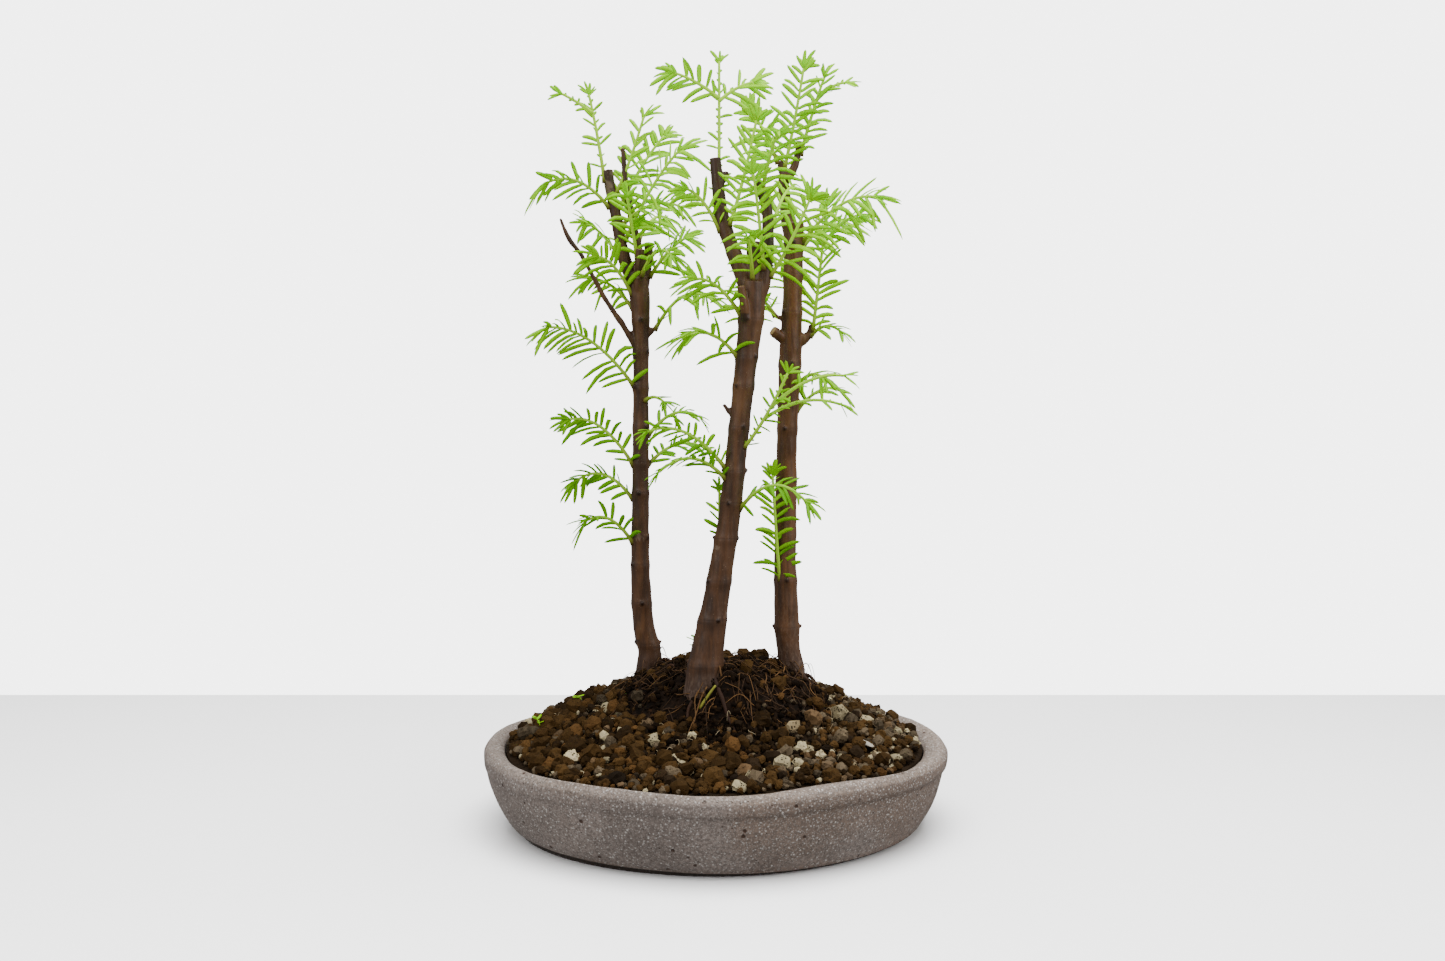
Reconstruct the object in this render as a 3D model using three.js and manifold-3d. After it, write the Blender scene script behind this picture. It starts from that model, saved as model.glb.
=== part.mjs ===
// A bonsai group planting: three young deciduous conifers in a shallow hand-made stoneware pot.
// Millimetres, +Z up. The origin is on the table under the middle of the pot, +X to the viewer's
// right and +Y away from the viewer.
import * as THREE from "three";
import { mergeVertices } from "three/addons/utils/BufferGeometryUtils.js";
import Module from "manifold-3d";

// ---------------------------------------------------------------- driving dimensions
const GAP = 0.3; // clearance kept between two pieces that touch
const SLIVER = 0.02; // edges shorter than this are left out of a finished piece

const POT_LENGTH = 280; // outside, left to right
const POT_DEPTH = 250; // outside, front to back
const POT_HEIGHT = 49; // table to the ridge of the rim
const POT_WAVE = 1.6; // how far the hand-shaped outline and rim wander
const FOOT_INSET = 17; // how much smaller the foot is than the rim, all round
const FOOT_ROUND = 4; // rolled lower edge of the wall
const WALL = 9; // thickness of the flared wall
const LIP = 14; // width of the thick rim
const FLOOR = 8; // thickness of the pot's floor
const POT_SIDES = 40;

const DRAIN_HOLE_RADIUS = 9;
const DRAIN_HOLE_SPACING = 110; // between the two holes
const DRAIN_HOLE_SIDES = 20;
const SCREEN_SIZE = 32; // side of a square drain screen
const SCREEN_THICKNESS = 1.6;
const SCREEN_CELLS = 3; // openings along a side
const SCREEN_BAR = 2.2; // width of a bar between two openings

const SOIL_BELOW_RIM = 3; // where the gravel meets the wall
const SOIL_RISE = 26; // from there up to the root ball
const SOIL_LUMP = 1.1; // unevenness of the gravel
const SOIL_RINGS = 5;

const BALL_CENTRE = new THREE.Vector2(3, 12); // of the root ball, in plan
const BALL_LENGTH = 132;
const BALL_DEPTH = 100;
const BALL_BOTTOM = 22; // above the table
const BALL_CROWN = 20; // how far the root ball domes above the gravel
const BALL_LEAN = 0.2; // the back of the root ball stands higher, mm per mm
const BALL_SIDES = 24;
const BALL_HEADROOM = 9; // cut away above the root ball, so that no gravel lies on it

const ROOT_DEPTH = 26; // how far a trunk goes into the root ball
const ROOT_FLARE = 1.15; // how much wider the buried end of a trunk is
const LEAF_THICKNESS = 1.2;
const STEM_WIDTH = 1.8; // of a green shoot
const LEAF_WIDTH = 4;
const LEAF_SPACING = 13; // between two pairs of leaflets
const LEAF_LEAN_BASE = 68; // between stem and leaflet, degrees, at the foot of a shoot
const LEAF_LEAN_TIP = 42;
const LEAF_DROOP = 0.012; // how far a leaflet bends down, per square mm of its reach
const SEEDLING_HEIGHT = 10; // above the earth
const SEEDLING_ROOT = 4; // below it

// ---------------------------------------------------------------- colours
const stoneware = { color: 0x8d8078, roughness: 0.92, metalness: 0 };
const plasticMesh = { color: 0x26302a, roughness: 0.6, metalness: 0 };
const gravel = { color: 0x5a4128, roughness: 0.95, metalness: 0 };
const peat = { color: 0x2a1d13, roughness: 1, metalness: 0 };
const bark = { color: 0x5b3424, roughness: 0.7, metalness: 0 };
const leafGreen = { color: 0x79c425, roughness: 0.5, metalness: 0 };

// ---------------------------------------------------------------- the three trees
// foot: where the trunk leaves the root ball, in plan. height: from there to the tree's top.
// A limb's path is [across, back, share of the height] from the foot; its radii are in mm and
// belong to the points of the path. Limbs after the first are leaders, cut stubs and twigs.
const TREES = {
  left: {
    foot: [-42, 35],
    height: 325,
    limbs: {
      trunk: {
        path: [[0, 0, 0], [0, 0, 0.039], [-3.5, 0, 0.085], [-5.5, -1, 0.199], [-5.4, -1, 0.303],
          [-5, -1, 0.457], [-4.8, -1, 0.611], [-4.7, -1, 0.657], [-6, -1, 0.737], [-9, -1, 0.765]],
        radii: [8.8, 7.3, 6.8, 6, 5.5, 5.2, 5, 5.3, 6.5, 4.5],
        sides: 8,
      },
      leader: {
        path: [[-8, -1, 0.746], [-11.8, -1, 0.765], [-16.3, -1, 0.813], [-19.6, -1, 0.87],
          [-23, -1, 0.919], [-25, -1, 0.959]],
        radii: [4.5, 4.2, 4, 3.8, 3.5, 3.5],
      },
      thin_leader: {
        path: [[-6.5, -1, 0.74], [-5.4, -2, 0.786], [-9.6, -3, 0.863], [-13, -3, 0.919],
          [-15.4, -3, 0.999]],
        radii: [3.5, 3, 2.5, 2.1, 1.5],
      },
      front_stub: {
        path: [[-6, -5, 0.731], [-5, -8, 0.774], [-4.6, -9, 0.808]],
        radii: [3, 2.8, 2.7],
      },
      side_stub: {
        path: [[-3, 1, 0.731], [-0.6, 2, 0.78], [0.4, 2, 0.823]],
        radii: [3.2, 3, 2.8],
      },
      knob: {
        path: [[-4, -1, 0.642], [0.5, -1, 0.651], [3.5, -1, 0.659]],
        radii: [2.8, 2.3, 1.8],
      },
      dead_twig: {
        path: [[-8, -2, 0.626], [-16, -4, 0.666], [-26, -6, 0.713], [-41, -10, 0.797],
          [-48, -12, 0.826], [-53, -13, 0.863]],
        radii: [2.5, 1.8, 1.6, 1.5, 1.7, 1],
      },
    },
  },
  middle: {
    foot: [-6.5, -15],
    height: 314,
    limbs: {
      trunk: {
        path: [[0, 0, 0], [0.5, 0, 0.051], [3.4, 0, 0.111], [6.5, 0, 0.171], [9.6, 0, 0.232],
          [14.8, 1, 0.334], [19.8, 1, 0.484], [25, 1, 0.637], [27.9, 1, 0.723], [28.5, 1, 0.771]],
        radii: [12.8, 10.5, 9, 7.8, 7.2, 6.7, 6.2, 6.7, 7.8, 7],
        sides: 9,
      },
      left_leader: {
        path: [[26.5, 1, 0.745], [22.2, 2, 0.783], [16, 3, 0.833], [10.5, 4, 0.885], [8.1, 5, 0.938],
          [6.1, 5, 1]],
        radii: [5.5, 5, 4.6, 4.4, 3.9, 3.5],
      },
      right_leader: {
        path: [[30, 1, 0.736], [34.3, 1, 0.764], [36.5, 2, 0.809], [37.2, 3, 0.857], [36.3, 3, 0.908],
          [31.2, 3, 0.955]],
        radii: [5.2, 4.5, 4, 3.7, 3.5, 3],
      },
      centre_stub: {
        path: [[28.5, 1, 0.758], [28.8, 1.5, 0.803], [28.5, 2, 0.844]],
        radii: [4.5, 4.3, 4.2],
      },
      front_stub: {
        path: [[24.5, -3, 0.694], [23.1, -7, 0.72], [21.3, -8, 0.76]],
        radii: [3, 2.6, 2.4],
      },
      spur: {
        path: [[8.5, 5, 0.949], [11.5, 5, 0.962], [13.5, 5, 0.975]],
        radii: [2.5, 2, 1.5],
      },
      low_twig: {
        path: [[18.5, 1, 0.516], [14, 1, 0.529], [11, 1, 0.541]],
        radii: [2, 1.5, 1.1],
      },
    },
  },
  right: {
    foot: [47.5, 30],
    height: 328,
    limbs: {
      trunk: {
        path: [[0, 0, 0], [-1.9, 0, 0.035], [-3, 0, 0.075], [-4.3, 0, 0.197], [-4.1, 0, 0.298],
          [-3.4, 0, 0.45], [-1.4, 0, 0.602], [-0.3, 0, 0.703], [0.5, 0, 0.825], [0.5, 0, 0.846]],
        radii: [8.2, 7.4, 7.8, 7, 6.8, 6.4, 7.1, 6.2, 6.2, 6.5],
        sides: 8,
      },
      leader: {
        path: [[-1.5, 1, 0.825], [-3.5, 1, 0.849], [-4.8, 1, 0.886], [-5.7, 1, 0.926],
          [-3.3, 1, 0.941]],
        radii: [4.5, 4, 3.9, 3.8, 3.7],
      },
      left_prong: {
        path: [[-5, 1, 0.929], [-7, 1, 0.947], [-8.2, 0, 0.962]],
        radii: [3, 2.5, 2],
      },
      right_prong: {
        path: [[-3.5, 1, 0.932], [0.1, 1, 0.947], [2.3, 1, 0.968], [4, 1, 0.999]],
        radii: [3.2, 2.8, 2.5, 2.2],
      },
      left_knob: {
        path: [[-2.5, -1, 0.627], [-8.5, -3, 0.636], [-12.9, -5, 0.645]],
        radii: [4.5, 3.6, 3.3],
      },
      right_stub: {
        path: [[-0.5, 0, 0.621], [6.5, 0, 0.63], [10.1, 0, 0.639], [11.3, 0, 0.657]],
        radii: [4.5, 3.5, 2.5, 1.5],
      },
      twig: {
        path: [[-2.5, 0, 0.663], [-7.5, -1, 0.668], [-11.2, -2, 0.673]],
        radii: [2.2, 1.6, 1.2],
      },
    },
  },
};

// Leafy shoots. on and at: the limb and how far along it the shoot starts. to: from there to the
// shoot's tip, [across, back, up]. bow: how far its middle stands above the straight line to the
// tip. leaf: its longest leaflets. roll: how far the flat of the frond is turned about its stem,
// in degrees. forks: side fronds on the same stem, at a share of its length.
const SHOOTS = {
  left: [
    { on: "leader", at: 0.877, to: [-10, -3, 58], bow: 4, leaf: 9, roll: 70,
      forks: [{ at: 0.66, to: [-23, -4, 13], bow: 1, leaf: 8, roll: 50 }] },
    { on: "leader", at: 0.775, to: [20, -5, 57], bow: -4, leaf: 13, roll: 70 },
    { on: "leader", at: 0.662, to: [32, 10, 52], bow: 5, leaf: 14, roll: 60 },
    { on: "leader", at: 0.438, to: [41, -20, 59], bow: 8, leaf: 21, roll: 75 },
    { on: "leader", at: 0.662, to: [-47, -15, 6], bow: 14, leaf: 17, roll: 35 },
    { on: "leader", at: 0.546, to: [44, -19, 4], bow: 10, leaf: 13, roll: 50 },
    { on: "thin_leader", at: 0.217, to: [-6, -18, 46], bow: 2, leaf: 13, roll: 24 },
    { on: "trunk", at: 0.963, to: [-36, 33, 40], bow: 8, leaf: 17, roll: 40 },
    { on: "trunk", at: 0.868, to: [-27, -18, 20], bow: 10, leaf: 17, roll: 45 },
    { on: "trunk", at: 0.829, to: [-35, 16, 18], bow: 9, leaf: 15, roll: 35 },
    { on: "side_stub", at: 0.25, to: [31, -11, 26], bow: 6, leaf: 17, roll: 60 },
    { on: "front_stub", at: 0.286, to: [25, -28, 1], bow: 14, leaf: 14, roll: 30 },
    { on: "knob", at: 0.8, to: [42, -21, 10], bow: 16, leaf: 16, roll: 20 },
    { on: "trunk", at: 0.62, to: [-60, -32, 34], bow: 14, leaf: 19, roll: 50 },
    { on: "trunk", at: 0.511, to: [-46, -16, 26], bow: 14, leaf: 14, roll: 50 },
    { on: "trunk", at: 0.464, to: [-45, 7, 1], bow: 16, leaf: 14, roll: 40 },
    { on: "trunk", at: 0.382, to: [-35, -19, 8], bow: 14, leaf: 15, roll: 35 },
    { on: "trunk", at: 0.602, to: [15, -16, -4], bow: 4, leaf: 6, roll: 10 },
    { on: "trunk", at: 0.553, to: [38, 7, 6], bow: 12, leaf: 10, roll: 25 },
    { on: "trunk", at: 0.511, to: [43, 23, 4], bow: 12, leaf: 11, roll: 25 },
    { on: "thin_leader", at: 0.37, to: [20, 45, 16], bow: 10, leaf: 16, roll: 30 },
  ],
  middle: [
    { on: "trunk", at: 0.864, to: [-36, -15, 16], bow: 12, leaf: 17, roll: 30 },
    { on: "trunk", at: 0.771, to: [-40, -16, 1], bow: 14, leaf: 20, roll: 20 },
    { on: "trunk", at: 0.617, to: [-52, -17, 19], bow: 14, leaf: 11, roll: 40 },
    { on: "trunk", at: 0.603, to: [-44, -27, -1], bow: 14, leaf: 11, roll: 25 },
    { on: "trunk", at: 0.503, to: [1, -1, 37], bow: -3, leaf: 9, roll: -35 },
    { on: "left_leader", at: 0.77, to: [0, 0, 84], bow: -2, leaf: 7, roll: 10,
      forks: [{ at: 0.7, to: [-35, -8, 15], bow: 3, leaf: 14, roll: 60 },
        { at: 0.68, to: [30, 2, 12], bow: 4, leaf: 15, roll: 60 }] },
    { on: "left_leader", at: 0.552, to: [17, -13, 72], bow: -6, leaf: 15, roll: 120 },
    { on: "left_leader", at: 0.503, to: [-26, -7, 24], bow: 9, leaf: 13, roll: 50 },
    { on: "right_leader", at: 0.314, to: [-7, -19, 61], bow: 6, leaf: 17, roll: 22 },
    { on: "right_leader", at: 0.257, to: [28, -14, 58], bow: -4, leaf: 19, roll: 118 },
    { on: "right_leader", at: 0.933, to: [11, -31, 32], bow: 6, leaf: 20, roll: 10 },
    { on: "trunk", at: 0.648, to: [26, -18, 50], bow: -4, leaf: 8, roll: 120,
      forks: [{ at: 0.55, to: [48, -5, 17], bow: 8, leaf: 9, roll: 30 },
        { at: 0.42, to: [50, -1, 6], bow: 8, leaf: 9, roll: 25 }] },
    { on: "trunk", at: 0.563, to: [46, -19, -6], bow: 18, leaf: 13, roll: 25 },
    { on: "centre_stub", at: 0.143, to: [-4, -30, 22], bow: 8, leaf: 13, roll: 30 },
    { on: "trunk", at: 0.835, to: [-2, 47, 22], bow: 12, leaf: 17, roll: 20 },
    { on: "right_leader", at: 0.613, to: [18, 39, 34], bow: 8, leaf: 16, roll: 40 },
  ],
  right: [
    { on: "right_stub", at: 0.722, to: [9, -4, 90], bow: -3, leaf: 17, roll: 80,
      forks: [{ at: 0.62, to: [30, -7, 17], bow: 7, leaf: 14, roll: 50 }] },
    { on: "right_prong", at: 0.7, to: [17, -6, 54], bow: 3, leaf: 14, roll: 75,
      forks: [{ at: 0.55, to: [23, -5, 8], bow: 4, leaf: 9, roll: 50 }] },
    { on: "left_prong", at: 0.5, to: [13, -11, 71], bow: -4, leaf: 15, roll: 130 },
    { on: "left_prong", at: 0.8, to: [-22, -4, 37], bow: 5, leaf: 16, roll: 65 },
    { on: "right_stub", at: 0.444, to: [26, -7, -7], bow: 10, leaf: 12, roll: 20 },
    { on: "trunk", at: 0.311, to: [-9, -12, 79], bow: -6, leaf: 14, roll: 30 },
    { on: "twig", at: 0.833, to: [-24, -12, 16], bow: 6, leaf: 10, roll: 40 },
    { on: "trunk", at: 0.872, to: [54, -25, 21], bow: 14, leaf: 20, roll: 45 },
    { on: "trunk", at: 0.783, to: [-5, 50, 20], bow: 12, leaf: 16, roll: 20 },
    { on: "trunk", at: 0.858, to: [39, 30, 21], bow: 10, leaf: 17, roll: 35 },
    { on: "trunk", at: 0.62, to: [20, -23, 0], bow: 8, leaf: 14, roll: 25 },
    { on: "trunk", at: 0.584, to: [35, 10, 10], bow: 10, leaf: 14, roll: 25 },
  ],
};

// Seedlings that came up in the earth: [across, back, how far the tip leans to the right].
const SEEDLINGS = [
  [-88, 14, 3],
  [-104, -8, -4],
  [-16, 26, 2],
];

// ---------------------------------------------------------------- solids
const wasm = await Module();
wasm.setup();

function solidOf(geometry) {
  const bare = geometry.clone();
  bare.deleteAttribute("normal");
  bare.deleteAttribute("uv");
  const merged = mergeVertices(bare, 1e-4);
  return new wasm.Manifold(
    new wasm.Mesh({
      numProp: 3,
      vertProperties: new Float32Array(merged.attributes.position.array),
      triVerts: new Uint32Array(merged.index.array),
    }),
  );
}

function geometryOf(solid) {
  const mesh = solid.getMesh();
  const geometry = new THREE.BufferGeometry();
  geometry.setAttribute("position", new THREE.BufferAttribute(mesh.vertProperties, 3));
  geometry.setIndex(new THREE.BufferAttribute(mesh.triVerts, 1));
  geometry.computeVertexNormals();
  return geometry;
}

// The biggest body of a cut solid: leaflet ends that a cut has freed fall away.
function largestBody(solid) {
  const bodies = solid.decompose();
  return bodies.reduce((best, body) => (body.volume() > best.volume() ? body : best));
}

const joined = (solids) => wasm.Manifold.union(solids);

// Moves every vertex of a geometry by place(vertex), which changes the vertex itself.
function reshape(geometry, place) {
  const position = geometry.getAttribute("position");
  const vertex = new THREE.Vector3();
  for (let i = 0; i < position.count; i++) {
    place(vertex.fromBufferAttribute(position, i));
    position.setXYZ(i, vertex.x, vertex.y, vertex.z);
  }
  return geometry;
}

// A body turned about +Z from a profile of [radius, height] that starts and ends on the axis.
function turned(profile, sides) {
  const points = profile.map(([radius, height]) => new THREE.Vector2(radius, height));
  return new THREE.LatheGeometry(points, sides).rotateX(Math.PI / 2);
}

// ---------------------------------------------------------------- the pot's hand-shaped outline
// Distance from the middle to the outline at an angle: an ellipse with a slow wander, which
// fades out at the four ends of the axes, so that the length and the depth stay true.
function outlineRadius(angle) {
  const a = POT_LENGTH / 2;
  const b = POT_DEPTH / 2;
  const ellipse = (a * b) / Math.hypot(b * Math.cos(angle), a * Math.sin(angle));
  const wander = Math.cos(angle + 0.7) + 0.6 * Math.cos(3 * angle + 2.1);
  return ellipse + POT_WAVE * wander * Math.sin(2 * angle);
}

// How far the rim stands above or below its usual height at an angle.
const rimWave = (angle) =>
  POT_WAVE * (0.55 * Math.sin(2 * angle + 0.4) + 0.45 * Math.sin(5 * angle - 0.6));

// Where the turned profile's largest radius stands for the outline itself.
const NOMINAL_RADIUS = POT_LENGTH / 2;
const at = (inset, height) => [NOMINAL_RADIUS - inset, height];

// Puts a turned body into the pot's outline: insets from the outline stay true all round.
function shapeToPot(geometry, lift) {
  return reshape(geometry, (v) => {
    const radius = Math.hypot(v.x, v.y);
    const angle = Math.atan2(v.y, v.x);
    if (radius > 1e-6) {
      const wanted = outlineRadius(angle) - (NOMINAL_RADIUS - radius);
      v.x *= wanted / radius;
      v.y *= wanted / radius;
    }
    v.z += lift(v, angle);
  });
}

// Height lift of the wall: none at the floor, all of the rim's wave at the ridge.
const wallLift = (v, angle) => rimWave(angle) * Math.max(0, v.z / POT_HEIGHT) ** 2;

// Where the left (-1) and the right (1) drain hole are.
const drainX = (side) => (side * DRAIN_HOLE_SPACING) / 2;

const WALL_INNER = [
  at(FOOT_INSET + WALL + 7, FLOOR),
  at(FOOT_INSET + WALL, FLOOR + 5),
  at(WALL + 7, POT_HEIGHT * 0.55),
  at(LIP, POT_HEIGHT - 9),
  at(LIP, POT_HEIGHT - SOIL_BELOW_RIM),
];

function makePot() {
  const wall = turned(
    [
      [0, 0],
      at(FOOT_INSET + FOOT_ROUND, 0),
      at(FOOT_INSET, FOOT_ROUND * 0.6),
      at(FOOT_INSET * 0.55, POT_HEIGHT * 0.33),
      at(FOOT_INSET * 0.22, POT_HEIGHT * 0.62),
      at(0, POT_HEIGHT * 0.86),
      at(LIP * 0.14, POT_HEIGHT * 0.96),
      at(LIP * 0.45, POT_HEIGHT),
      at(LIP * 0.8, POT_HEIGHT - SOIL_BELOW_RIM * 0.4),
      ...[...WALL_INNER].reverse(),
      [0, FLOOR],
    ],
    POT_SIDES,
  );
  const holes = [-1, 1].map((side) =>
    new THREE.CylinderGeometry(DRAIN_HOLE_RADIUS, DRAIN_HOLE_RADIUS, FLOOR * 3, DRAIN_HOLE_SIDES)
      .rotateX(Math.PI / 2)
      .translate(drainX(side), 0, FLOOR / 2),
  );
  return solidOf(shapeToPot(wall, wallLift)).subtract(joined(holes.map(solidOf)));
}

// ---------------------------------------------------------------- drain screens
function boxSolid(width, depth, height, x, y, z) {
  return solidOf(new THREE.BoxGeometry(width, depth, height).translate(x, y, z));
}

const SCREEN_Z = FLOOR + GAP + SCREEN_THICKNESS / 2;

function makeScreen(side) {
  const plate = boxSolid(SCREEN_SIZE, SCREEN_SIZE, SCREEN_THICKNESS, drainX(side), 0, SCREEN_Z);
  const pitch = (SCREEN_SIZE - SCREEN_BAR) / SCREEN_CELLS;
  const cell = pitch - SCREEN_BAR;
  const place = (i) => (i - (SCREEN_CELLS - 1) / 2) * pitch;
  const cells = Array.from({ length: SCREEN_CELLS ** 2 }, (_, i) =>
    boxSolid(cell, cell, SCREEN_THICKNESS * 3, drainX(side) + place(i % SCREEN_CELLS),
      place(Math.floor(i / SCREEN_CELLS)), SCREEN_Z));
  return plate.subtract(joined(cells));
}

// The room that a screen takes up in the gravel.
function screenRoom(side) {
  const size = SCREEN_SIZE + 2 * GAP;
  return boxSolid(size, size, SCREEN_THICKNESS + 2 * GAP, drainX(side), 0, SCREEN_Z);
}

// ---------------------------------------------------------------- gravel and root ball
// A gentle unevenness, the same for every build.
const lumps = (x, y) =>
  Math.sin(0.31 * x + 1.3) * Math.cos(0.27 * y) + 0.6 * Math.sin(0.53 * y - 0.19 * x);

// How far a place is from the root ball's middle, as a share of the way to its outline in plan.
const ballShare = (x, y) =>
  Math.hypot((x - BALL_CENTRE.x) / (BALL_LENGTH / 2), (y - BALL_CENTRE.y) / (BALL_DEPTH / 2));

const soilEdge = POT_HEIGHT - SOIL_BELOW_RIM;
const ballEdge = soilEdge + SOIL_RISE;

// Height of the gravel: it falls from the root ball to the rim, slowly at first.
function soilHeight(x, y) {
  const angle = Math.atan2(y, x);
  const rim = outlineRadius(angle) - LIP;
  const ball = BALL_DEPTH / 2;
  const share = THREE.MathUtils.clamp((Math.hypot(x, y) - ball) / (rim - ball), 0, 1);
  const top = ballEdge + BALL_LEAN * (y - BALL_CENTRE.y) + SOIL_LUMP * lumps(x, y);
  return THREE.MathUtils.lerp(top, soilEdge, share ** 1.5);
}

// Height of the root ball's domed top.
function ballHeight(x, y) {
  const share = Math.min(ballShare(x, y), 1);
  const dome = BALL_CROWN * (1 - share ** 2.5);
  return ballEdge + dome + BALL_LEAN * (y - BALL_CENTRE.y) + SOIL_LUMP * lumps(y, x);
}

function makeSoil() {
  const innerWall = WALL_INNER.map(([radius, height]) => [radius - GAP, height + GAP]);
  const topRings = Array.from({ length: SOIL_RINGS }, (_, i) => [
    (NOMINAL_RADIUS - LIP) * (1 - (i + 1) / (SOIL_RINGS + 1)),
    POT_HEIGHT,
  ]);
  const wallTop = innerWall.length - 1;
  innerWall[wallTop] = [innerWall[wallTop][0], soilEdge - 2];
  const body = turned([[0, FLOOR + GAP], ...innerWall, ...topRings, [0, POT_HEIGHT]], POT_SIDES);
  shapeToPot(body, wallLift);
  return reshape(body, (v) => {
    if (v.z > POT_HEIGHT - 1.5 * POT_WAVE) v.z = soilHeight(v.x, v.y);
  });
}

// The root ball, or with grow the room that is cut for it in the gravel.
function makeBall(grow = 0) {
  const side = [[0, BALL_BOTTOM], [0.75, BALL_BOTTOM], [1, BALL_BOTTOM + 20]];
  const top = [[1, ballEdge], [0.93, ballEdge], [0.8, ballEdge], [0.62, ballEdge],
    [0.42, ballEdge], [0.2, ballEdge], [0, ballEdge]];
  const body = turned([...side, ...top], BALL_SIDES);
  const stretch = 1 + (2 * grow) / BALL_DEPTH;
  const headroom = grow > 0 ? BALL_HEADROOM : 0;
  return reshape(body, (v) => {
    const onTop = v.z > ballEdge - SLIVER;
    v.x = BALL_CENTRE.x + (v.x * stretch * BALL_LENGTH) / 2;
    v.y = BALL_CENTRE.y + (v.y * stretch * BALL_DEPTH) / 2;
    v.z = onTop ? ballHeight(v.x, v.y) + headroom : v.z - grow;
  });
}

// ---------------------------------------------------------------- wood
// A round limb along a smooth curve, with a radius that changes along it.
function limbCurve(tree, { path }) {
  const [x, y] = tree.foot;
  const ground = ballHeight(x, y);
  const points = path.map(([across, back, share]) =>
    new THREE.Vector3(x + across, y + back, ground + share * tree.height));
  return new THREE.CatmullRomCurve3(points, false, "centripetal");
}

function radiusAt(radii, share) {
  const place = THREE.MathUtils.clamp(share, 0, 1) * (radii.length - 1);
  const i = Math.min(Math.floor(place), radii.length - 2);
  return THREE.MathUtils.lerp(radii[i], radii[i + 1], place - i);
}

function limbSolid(curve, { radii, sides = 6 }, grow) {
  const steps = Math.ceil((radii.length - 1) * 1.5);
  const frames = curve.computeFrenetFrames(steps, false);
  const tube = new THREE.CylinderGeometry(1, 1, 1, sides, steps);
  return solidOf(
    reshape(tube, (v) => {
      const step = Math.round((v.y + 0.5) * steps);
      const share = step / steps;
      const radius = radiusAt(radii, share) + grow;
      const centre = curve.getPoint(share);
      centre.addScaledVector(frames.normals[step], v.x * radius);
      centre.addScaledVector(frames.binormals[step], -v.z * radius);
      v.copy(centre);
    }),
  );
}

// The buried foot, which the root ball grips.
function footSolid(tree, grow) {
  const [x, y] = tree.foot;
  const radius = tree.limbs.trunk.radii[0] + grow;
  const depth = ROOT_DEPTH + 2 * grow;
  const foot = new THREE.CylinderGeometry(radius, radius * ROOT_FLARE, depth, tree.limbs.trunk.sides);
  foot.rotateX(Math.PI / 2).translate(x, y, ballHeight(x, y) + 1 - ROOT_DEPTH / 2);
  return solidOf(foot);
}

function treeSolid(tree, grow = 0) {
  const limbs = Object.values(tree.limbs).map((limb) =>
    limbSolid(limbCurve(tree, limb), limb, grow));
  return joined([footSolid(tree, grow), ...limbs]);
}

// ---------------------------------------------------------------- leafy shoots
// The stem of a shoot: a bowed curve in the upright plane of its heading. The result gives the
// point at a share u of the stem and the directions there: along it, across the flat of the
// frond, and square to the flat.
function stemLine(start, { to, bow, roll = 0 }) {
  const tip = new THREE.Vector3(...to).add(start);
  const middle = start.clone().lerp(tip, 0.5);
  middle.z += 2 * bow;
  const curve = new THREE.QuadraticBezierCurve3(start, middle, tip);
  const level = new THREE.Vector3(-to[1], to[0], 0).normalize();
  const turn = THREE.MathUtils.degToRad(roll);
  const at = (u) => {
    const forward = curve.getTangent(u);
    const side = level.clone().applyAxisAngle(forward, turn);
    const face = new THREE.Vector3().crossVectors(side, forward);
    return { point: curve.getPoint(u), forward, side, face };
  };
  return { at, curve, length: curve.getLength() };
}

// How long a leaflet is beside the longest one: short at both ends of the shoot.
const leafShare = (u) => 0.45 + 0.55 * Math.sin(Math.PI * Math.min(1, 0.15 + 0.8 * u)) ** 0.8;

// One pair of leaflets: an octahedron stretched across the stem, with its two ends swept forward.
function pairSolid({ point, forward, side, face }, reach, lean, grow) {
  const across = (reach + grow) * Math.sin(lean);
  const ahead = (reach + grow) * Math.cos(lean);
  const sag = LEAF_DROOP * (reach * Math.sin(lean)) ** 2;
  return solidOf(
    reshape(new THREE.OctahedronGeometry(1), (v) => {
      const end = Math.abs(v.x) > 0.5;
      const along = end ? ahead : v.y * (LEAF_WIDTH / 2 + grow);
      const placed = point.clone().addScaledVector(side, v.x * across);
      placed.addScaledVector(forward, along);
      placed.addScaledVector(face, v.z * (LEAF_THICKNESS / 2 + grow));
      placed.z -= end ? sag : 0;
      v.copy(placed);
    }),
  );
}

function frondSolid(stem, { leaf }, grow) {
  const pairs = Math.max(2, Math.round(stem.length / LEAF_SPACING));
  const leaflets = Array.from({ length: pairs }, (_, i) => {
    const u = (i + 0.6) / (pairs + 0.3);
    const lean = LEAF_LEAN_BASE + (LEAF_LEAN_TIP - LEAF_LEAN_BASE) * u;
    return pairSolid(stem.at(u), leaf * leafShare(u), THREE.MathUtils.degToRad(lean), grow);
  });
  const stalk = { radii: [STEM_WIDTH / 2, STEM_WIDTH / 2, STEM_WIDTH / 3], sides: 4 };
  return joined([limbSolid(stem.curve, stalk, grow), ...leaflets]);
}

// Where a shoot leaves its limb: on the limb's surface, on the side that it heads for.
function budPoint(tree, { on, at: share, to }) {
  const limb = tree.limbs[on];
  const outward = new THREE.Vector3(to[0], to[1], 0).normalize();
  const axis = limbCurve(tree, limb).getPoint(share);
  return axis.addScaledVector(outward, radiusAt(limb.radii, share));
}

function shootSolid(tree, row, grow = 0) {
  const stem = stemLine(budPoint(tree, row), row);
  const forks = (row.forks || []).map((fork) =>
    frondSolid(stemLine(stem.at(fork.at).point, fork), fork, grow));
  return joined([frondSolid(stem, row, grow), ...forks]);
}

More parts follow.
